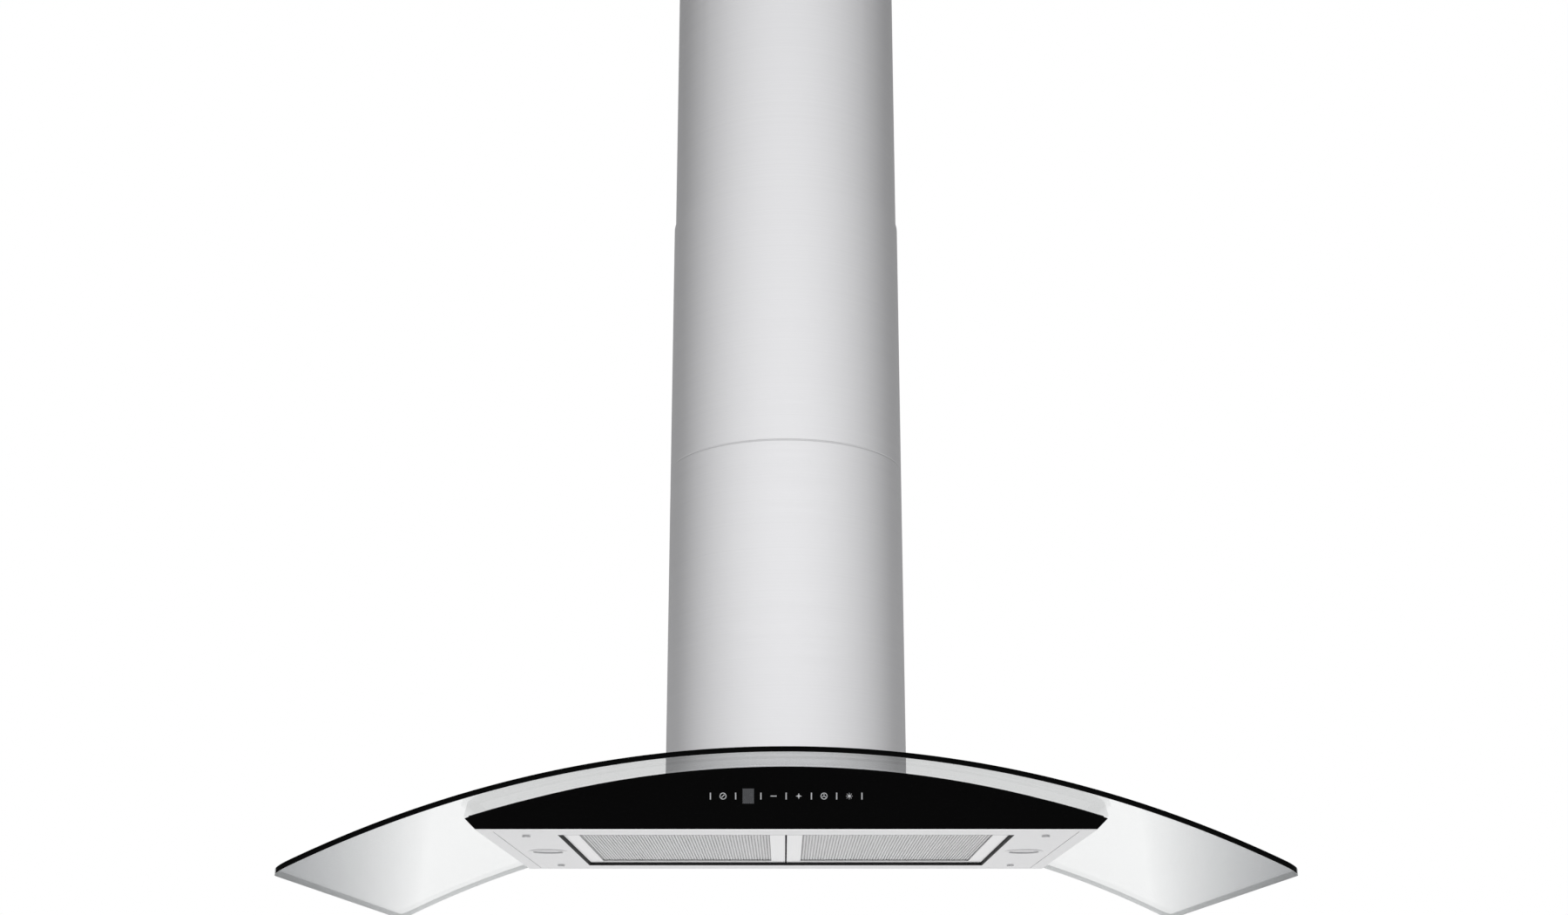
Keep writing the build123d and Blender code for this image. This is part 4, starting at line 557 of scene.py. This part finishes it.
def glass_canopy():
    """The bent sheet: two clear faces, a black front edge, ground other edges, and a round hole."""
    half_x, half_y = GLASS_HIGH.x, GLASS_HIGH.y
    outer = rounded_outline(half_x, half_y, GLASS_CORNER, OUTLINE_STEP)
    angles = [math.atan2(p.y, p.x) for p in outer]
    hole = [GLASS_HOLE * Vector((math.cos(a), math.sin(a))) for a in angles]
    work = bmesh.new()

    def outward(at):
        """The direction in which the outline faces at one of its points."""
        flat_x = half_x - GLASS_CORNER
        flat_y = half_y - GLASS_CORNER
        past_x = math.copysign(max(0, abs(at.x) - flat_x), at.x)
        past_y = math.copysign(max(0, abs(at.y) - flat_y), at.y)
        return Vector((past_x, past_y)).normalized()

    def layer(depth):
        """One face of the sheet as rings of vertices from the hole to the edge's chamfer."""
        made = []
        for ring in range(GLASS_RINGS + 1):
            row = []
            for near, far in zip(hole, outer):
                at = near.lerp(far, ring / GLASS_RINGS)
                if ring == GLASS_RINGS:
                    at = at - GLASS_CHAMFER * outward(at)
                row.append(work.verts.new((at.x, at.y, bent_z(at.x, depth))))
            made.append(row)
        return made

    def edge_row(depth):
        return [work.verts.new((p.x, p.y, bent_z(p.x, depth))) for p in outer]

    top = layer(0)
    bottom = layer(GLASS_THICKNESS)
    high = edge_row(GLASS_CHAMFER)
    low = edge_row(GLASS_THICKNESS - GLASS_CHAMFER)
    count = len(outer)

    def band(first, second, material_index, flip=False, front_index=None):
        """Faces between two rows. Those along the front edge may have a material of their own."""
        for k in range(count):
            after = (k + 1) % count
            corners = [first[k], second[k], second[after], first[after]]
            face = work.faces.new(reversed(corners) if flip else corners)
            in_front = max(outer[k].y, outer[after].y) < GLASS_CORNER / 2 - half_y
            face.material_index = front_index if in_front and front_index else material_index

    for ring in range(GLASS_RINGS):
        band(top[ring], top[ring + 1], 0)
        band(bottom[ring], bottom[ring + 1], 0, flip=True)
    # The front edge faces take the black of the painted shade.
    band(top[-1], high, 2, front_index=1)
    band(high, low, 2, front_index=1)
    band(low, bottom[-1], 2)
    band(bottom[0], top[0], 2)
    for edge in work.edges:
        edge.smooth = len({face.material_index for face in edge.link_faces}) == 1
    mesh = mesh_from("glass_sheet", work)
    glass_materials = [finishes["clear_glass"], edge_painted_black, edge_ground]
    piece = new_piece("glass_sheet", mesh, glass_materials, "hood")
    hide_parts("glass_canopy")


def face_point(x, up, out):
    """A point on the front panel: up along the face from the body's bottom, and out from it."""
    return Vector(
        (
            x,
            FACE_BOTTOM_Y - up * math.sin(FACE_LEAN) - out * math.cos(FACE_LEAN),
            BODY_BOTTOM_Z + up * math.cos(FACE_LEAN) - out * math.sin(FACE_LEAN),
        )
    )


def print_form(work, outline, holes=()):
    """A flat printed form on the front panel, with a little thickness. Points are (x, up)."""
    filled = bmesh.new()
    for loop in (outline, *holes):
        ring = [filled.verts.new((x, up, 0)) for x, up in loop]
        for k, vert in enumerate(ring):
            filled.edges.new((vert, ring[(k + 1) % len(ring)]))
    bmesh.ops.triangle_fill(filled, use_beauty=True, edges=filled.edges[:])
    flat = [[(v.co.x, v.co.y) for v in face.verts] for face in filled.faces]
    filled.free()
    sheet = {}

    def corner(x, up, out):
        key = (round(x, 7), round(up, 7), out)
        if key not in sheet:
            sheet[key] = work.verts.new(face_point(x, up, out))
        return sheet[key]

    for triangle in flat:
        front = [corner(x, up, PRINT_DEPTH) for x, up in triangle]
        back = [corner(x, up, -PRINT_DEPTH) for x, up in triangle]
        work.faces.new(front)
        work.faces.new(list(reversed(back)))
    for loop in (outline, *holes):
        for (x0, up0), (x1, up1) in zip(loop, list(loop[1:]) + [loop[0]]):
            work.faces.new(
                (
                    corner(x0, up0, PRINT_DEPTH),
                    corner(x1, up1, PRINT_DEPTH),
                    corner(x1, up1, -PRINT_DEPTH),
                    corner(x0, up0, -PRINT_DEPTH),
                )
            )


def bar(x, up, width, height, turn=0.0):
    """Corners of a turned bar about (x, up)."""
    corners = ((-1, -1), (1, -1), (1, 1), (-1, 1))
    c, s = math.cos(turn), math.sin(turn)
    return [
        (
            x + (a * width * c - b * height * s) / 2,
            up + (a * width * s + b * height * c) / 2,
        )
        for a, b in corners
    ]


def circle(x, up, radius):
    """Points of a circle about (x, up)."""
    angles = [2 * math.pi * k / CIRCLE_STEPS for k in range(CIRCLE_STEPS)]
    return [(x + radius * math.cos(a), up + radius * math.sin(a)) for a in angles]


def ring_form(work, x, up, radius):
    """A printed ring, one stroke wide."""
    print_form(work, circle(x, up, radius), [circle(x, up, radius - ICON_STROKE)])


def spokes(work, x, up, count, start, reach, length, stroke):
    """Printed bars that point away from (x, up), the first at an angle in degrees."""
    for k in range(count):
        angle = math.radians(start + 360 * k / count)
        middle = (x + reach * math.cos(angle), up + reach * math.sin(angle))
        print_form(work, bar(*middle, length, stroke, angle))


def touch_icons():
    """Separators and plain control symbols: power, less, more, fan and light."""
    work = bmesh.new()
    up = ICON_HEIGHT / math.cos(FACE_LEAN)
    cell_x = [(cell - (ICON_CELLS - 1) / 2) * ICON_PITCH for cell in range(ICON_CELLS)]
    for k in range(ICON_CELLS + 1):
        print_form(work, bar((k - ICON_CELLS / 2) * ICON_PITCH, up, SEPARATOR_WIDTH, ICON_SIZE))
    power, _, less, more, fan, light = cell_x
    half = ICON_SIZE / 2
    ring_form(work, power, up, half)
    print_form(work, bar(power, up, ICON_STROKE, 0.6 * ICON_SIZE, math.radians(-45)))
    print_form(work, bar(less, up, 0.9 * ICON_SIZE, 1.2 * ICON_STROKE))
    star = ((1, 0), (0.25, 0.25), (0, 1), (-0.25, 0.25), (-1, 0), (-0.25, -0.25), (0, -1), (0.25, -0.25))
    print_form(work, [(more + 0.9 * half * a, up + 0.9 * half * b) for a, b in star])
    ring_form(work, fan, up, half)
    spokes(work, fan, up, 3, 90, 0.35 * half, 0.55 * half, ICON_STROKE)
    print_form(work, circle(light, up, 0.45 * half))
    spokes(work, light, up, 8, 0, 0.8 * half, 0.3 * half, 0.6 * ICON_STROKE)
    bmesh.ops.recalc_face_normals(work, faces=work.faces[:])
    mesh = mesh_from("touch_icons", work, smooth=False)
    new_piece("touch_icons", mesh, [print_grey], "hood")


def touch_display():
    """The dark window of the display between the first icons."""
    work = bmesh.new()
    up = ICON_HEIGHT / math.cos(FACE_LEAN)
    middle = (DISPLAY_CELL - (ICON_CELLS - 1) / 2) * ICON_PITCH
    print_form(work, bar(middle, up, DISPLAY_WIDTH, DISPLAY_HEIGHT))
    bmesh.ops.recalc_face_normals(work, faces=work.faces[:])
    mesh = mesh_from("touch_display", work, smooth=False)
    new_piece("touch_display", mesh, [finishes["display"]], "hood")


def lattice(side):
    """Expanded aluminium in a filter: two layers of zigzag strands under two dimpled sheets."""
    low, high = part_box(f"filter_mesh_{side}")
    work = bmesh.new()
    half_wire = STRAND / 2
    columns = int((high.x - low.x) / STRAND_PITCH)
    swing = STRAND_PITCH / 2 - half_wire
    steps = int((high.y - low.y) / STRAND_STEP)
    for level in range(2):
        z = low.z + STRAND_DEPTH + level * LAYER_STEP
        for column in range(columns - level):
            base = low.x + (column + 0.5 + level / 2) * STRAND_PITCH
            last = None
            for step in range(steps + 1):
                middle = base + swing * (-1) ** (step + column)
                y = low.y + step * STRAND_STEP
                ring = [
                    work.verts.new((middle + a * half_wire, y, z + b * STRAND_SHEET / 2))
                    for a, b in ((-1, -1), (1, -1), (1, 1), (-1, 1))
                ]
                if last:
                    for k in range(4):
                        after = (k + 1) % 4
                        work.faces.new((last[k], last[after], ring[after], ring[k]))
                last = ring
    for z in (low.z + SHEET_DEPTH, high.z - STRAND_SHEET / 2):
        dimpled_sheet(work, low, high, z)
    bmesh.ops.recalc_face_normals(work, faces=work.faces[:])
    mesh = mesh_from(f"filter_lattice_{side}", work, smooth=False)
    aluminium = [finishes["filter_aluminium"]]
    piece = new_piece(f"filter_lattice_{side}", mesh, aluminium, f"filter_{side}")
    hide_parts(f"filter_mesh_{side}")


def dimpled_sheet(work, low, high, top):
    """A sheet behind the strands, pressed down in rows from its top."""
    columns = int((high.x - low.x) / DIMPLE_PITCH)
    rows = int((high.y - low.y) / DIMPLE_PITCH)
    grid = [
        [
            work.verts.new(
                (
                    low.x + (high.x - low.x) * i / columns,
                    low.y + (high.y - low.y) * j / rows,
                    top - (DIMPLE if (i + j) % 2 else 0),
                )
            )
            for i in range(columns + 1)
        ]
        for j in range(rows + 1)
    ]
    for near, far in zip(grid, grid[1:]):
        for i in range(columns):
            work.faces.new((near[i], near[i + 1], far[i + 1], far[i]))


def coil_springs(side):
    """The latch's two coil springs, which ride on the latch."""
    low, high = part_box(f"latch_springs_{side}")
    reach = SPRING_RADIUS + SPRING_WIRE
    length = high.y - low.y - 2 * SPRING_WIRE
    turns = length / SPRING_PITCH
    steps = int(SPRING_STEPS_PER_TURN * turns)
    work = bmesh.new()
    for x in (low.x + reach, high.x - reach):
        rows = []
        for k in range(steps + 1):
            angle = 2 * math.pi * turns * k / steps
            away = Vector((math.cos(angle), 0, math.sin(angle)))
            middle = Vector((x, low.y + SPRING_WIRE + length * k / steps, (low.z + high.z) / 2))
            row = []
            for j in range(SPRING_SIDES):
                turn = 2 * math.pi * j / SPRING_SIDES
                offset = math.cos(turn) * away + math.sin(turn) * Vector((0, 1, 0))
                row.append(work.verts.new(middle + SPRING_RADIUS * away + SPRING_WIRE * offset))
            rows.append(row)
        for first, second in zip(rows, rows[1:]):
            for j in range(SPRING_SIDES):
                after = (j + 1) % SPRING_SIDES
                work.faces.new((first[j], second[j], second[after], first[after]))
        work.faces.new(rows[0])
        work.faces.new(list(reversed(rows[-1])))
    bmesh.ops.recalc_face_normals(work, faces=work.faces[:])
    mesh = mesh_from(f"springs_{side}", work)
    piece = new_piece(f"springs_{side}", mesh, [finishes["spring_steel"]], f"latch_{side}")
    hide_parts(f"latch_springs_{side}")
    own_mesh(piece)


def lens(side):
    """The lamp's front: a flat disc with fine prism rings, closed behind."""
    low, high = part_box(f"lamp_lens_{side}")
    centre = (low + high) / 2
    outer = (high.x - low.x) / 2
    angles = [2 * math.pi * k / LENS_STEPS for k in range(LENS_STEPS)]
    work = bmesh.new()
    rows = []
    for ring in range(1, LENS_RINGS + 1):
        radius = outer * ring / LENS_RINGS
        z = low.z + LENS_RECESS + LENS_RIPPLE * (ring % 3)
        spots = [(centre.x + radius * math.cos(a), centre.y + radius * math.sin(a), z) for a in angles]
        rows.append([work.verts.new(spot) for spot in spots])
    rim = [work.verts.new((v.co.x, v.co.y, high.z)) for v in rows[-1]]
    rows.append(rim)
    for first, second in zip(rows, rows[1:]):
        for k in range(LENS_STEPS):
            after = (k + 1) % LENS_STEPS
            work.faces.new((first[k], first[after], second[after], second[k]))
    work.faces.new(rows[0])
    work.faces.new(list(reversed(rim)))
    bmesh.ops.recalc_face_normals(work, faces=work.faces[:])
    mesh = mesh_from(f"lens_{side}", work, smooth=False)
    piece = new_piece(f"lens_{side}", mesh, [finishes["lamp_glass"]], "hood")
    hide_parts(f"lamp_lens_{side}")


# ---------------------------------------------------------------- stage


def studio_floor():
    """A wide pale floor far below the hood."""
    work = bmesh.new()
    bmesh.ops.create_grid(work, x_segments=8, y_segments=8, size=FLOOR_SIZE / 2)
    mesh = mesh_from("floor", work)
    floor = bpy.data.objects.new("floor", mesh)
    floor.location = (0, 0, FLOOR_Z)
    mesh.materials.append(floor_paint())
    bpy.context.scene.collection.objects.link(floor)


def wash_light():
    """A large soft lamp over the floor behind the hood, which no surface mirrors."""
    light = bpy.data.lights.new("wash", "AREA")
    light.shape = "RECTANGLE"
    light.size, light.size_y = WASH_SIZE
    light.energy = WASH_POWER
    holder = bpy.data.objects.new("wash", light)
    holder.location = WASH_PLACE
    holder.rotation_euler = (WASH_TARGET - WASH_PLACE).to_track_quat("-Z", "Y").to_euler()
    holder.visible_glossy = False
    bpy.context.scene.collection.objects.link(holder)


def studio_world():
    """White to the eye, and to the surfaces a soft room: bright in front, dimmer at the sides and behind."""
    world = bpy.data.worlds.new("studio")
    bpy.context.scene.world = world
    world.use_nodes = True
    tree = world.node_tree
    background = tree.nodes["Background"]
    depth = ranged(tree, place_along(tree, "Generated", "Y"), *ROOM_ALONG_Y)
    height = ranged(tree, place_along(tree, "Generated", "Z"), *ROOM_ALONG_Z)
    room = tree.nodes.new("ShaderNodeMath")
    room.operation = "MULTIPLY"
    tree.links.new(depth, room.inputs[0])
    tree.links.new(height, room.inputs[1])
    light_path = tree.nodes.new("ShaderNodeLightPath")
    choose = tree.nodes.new("ShaderNodeMix")
    choose.data_type = "FLOAT"
    # Its float sockets: 0 is the factor, 2 and 3 are the two values.
    tree.links.new(light_path.outputs["Is Camera Ray"], choose.inputs[0])
    tree.links.new(room.outputs["Value"], choose.inputs[2])
    choose.inputs[3].default_value = 1.0
    tree.links.new(choose.outputs[0], background.inputs["Strength"])
    background.inputs["Color"].default_value = (1, 1, 1, 1)


def camera():
    """In front and a little below the canopy, looking up along the chimney."""
    data = bpy.data.cameras.new("camera")
    data.sensor_width = SENSOR_WIDTH
    data.lens = LENS_LENGTH
    data.shift_y = CAMERA_SHIFT
    holder = bpy.data.objects.new("camera", data)
    holder.location = CAMERA_PLACE
    holder.rotation_euler = (math.radians(90 + CAMERA_PITCH), 0, 0)
    bpy.context.scene.collection.objects.link(holder)
    bpy.context.scene.camera = holder


# ---------------------------------------------------------------- the scene

dress_nodes()
glass_canopy()
touch_icons()
touch_display()
for side in ("left", "right"):
    lattice(side)
    lens(side)
    coil_springs(side)
    softened(f"filter_frame_{side}", 0.35 * MM)
    softened(f"filter_latch_{side}", 0.3 * MM, latch_steel)
softened("body_shell", 0.6 * MM)
softened("bottom_panel", 0.4 * MM)
softened("front_panel", 0.5 * MM)
softened("rear_panel", 0.5 * MM)

studio_floor()
studio_world()
wash_light()
bpy.context.scene.view_settings.view_transform = "Standard"
camera()
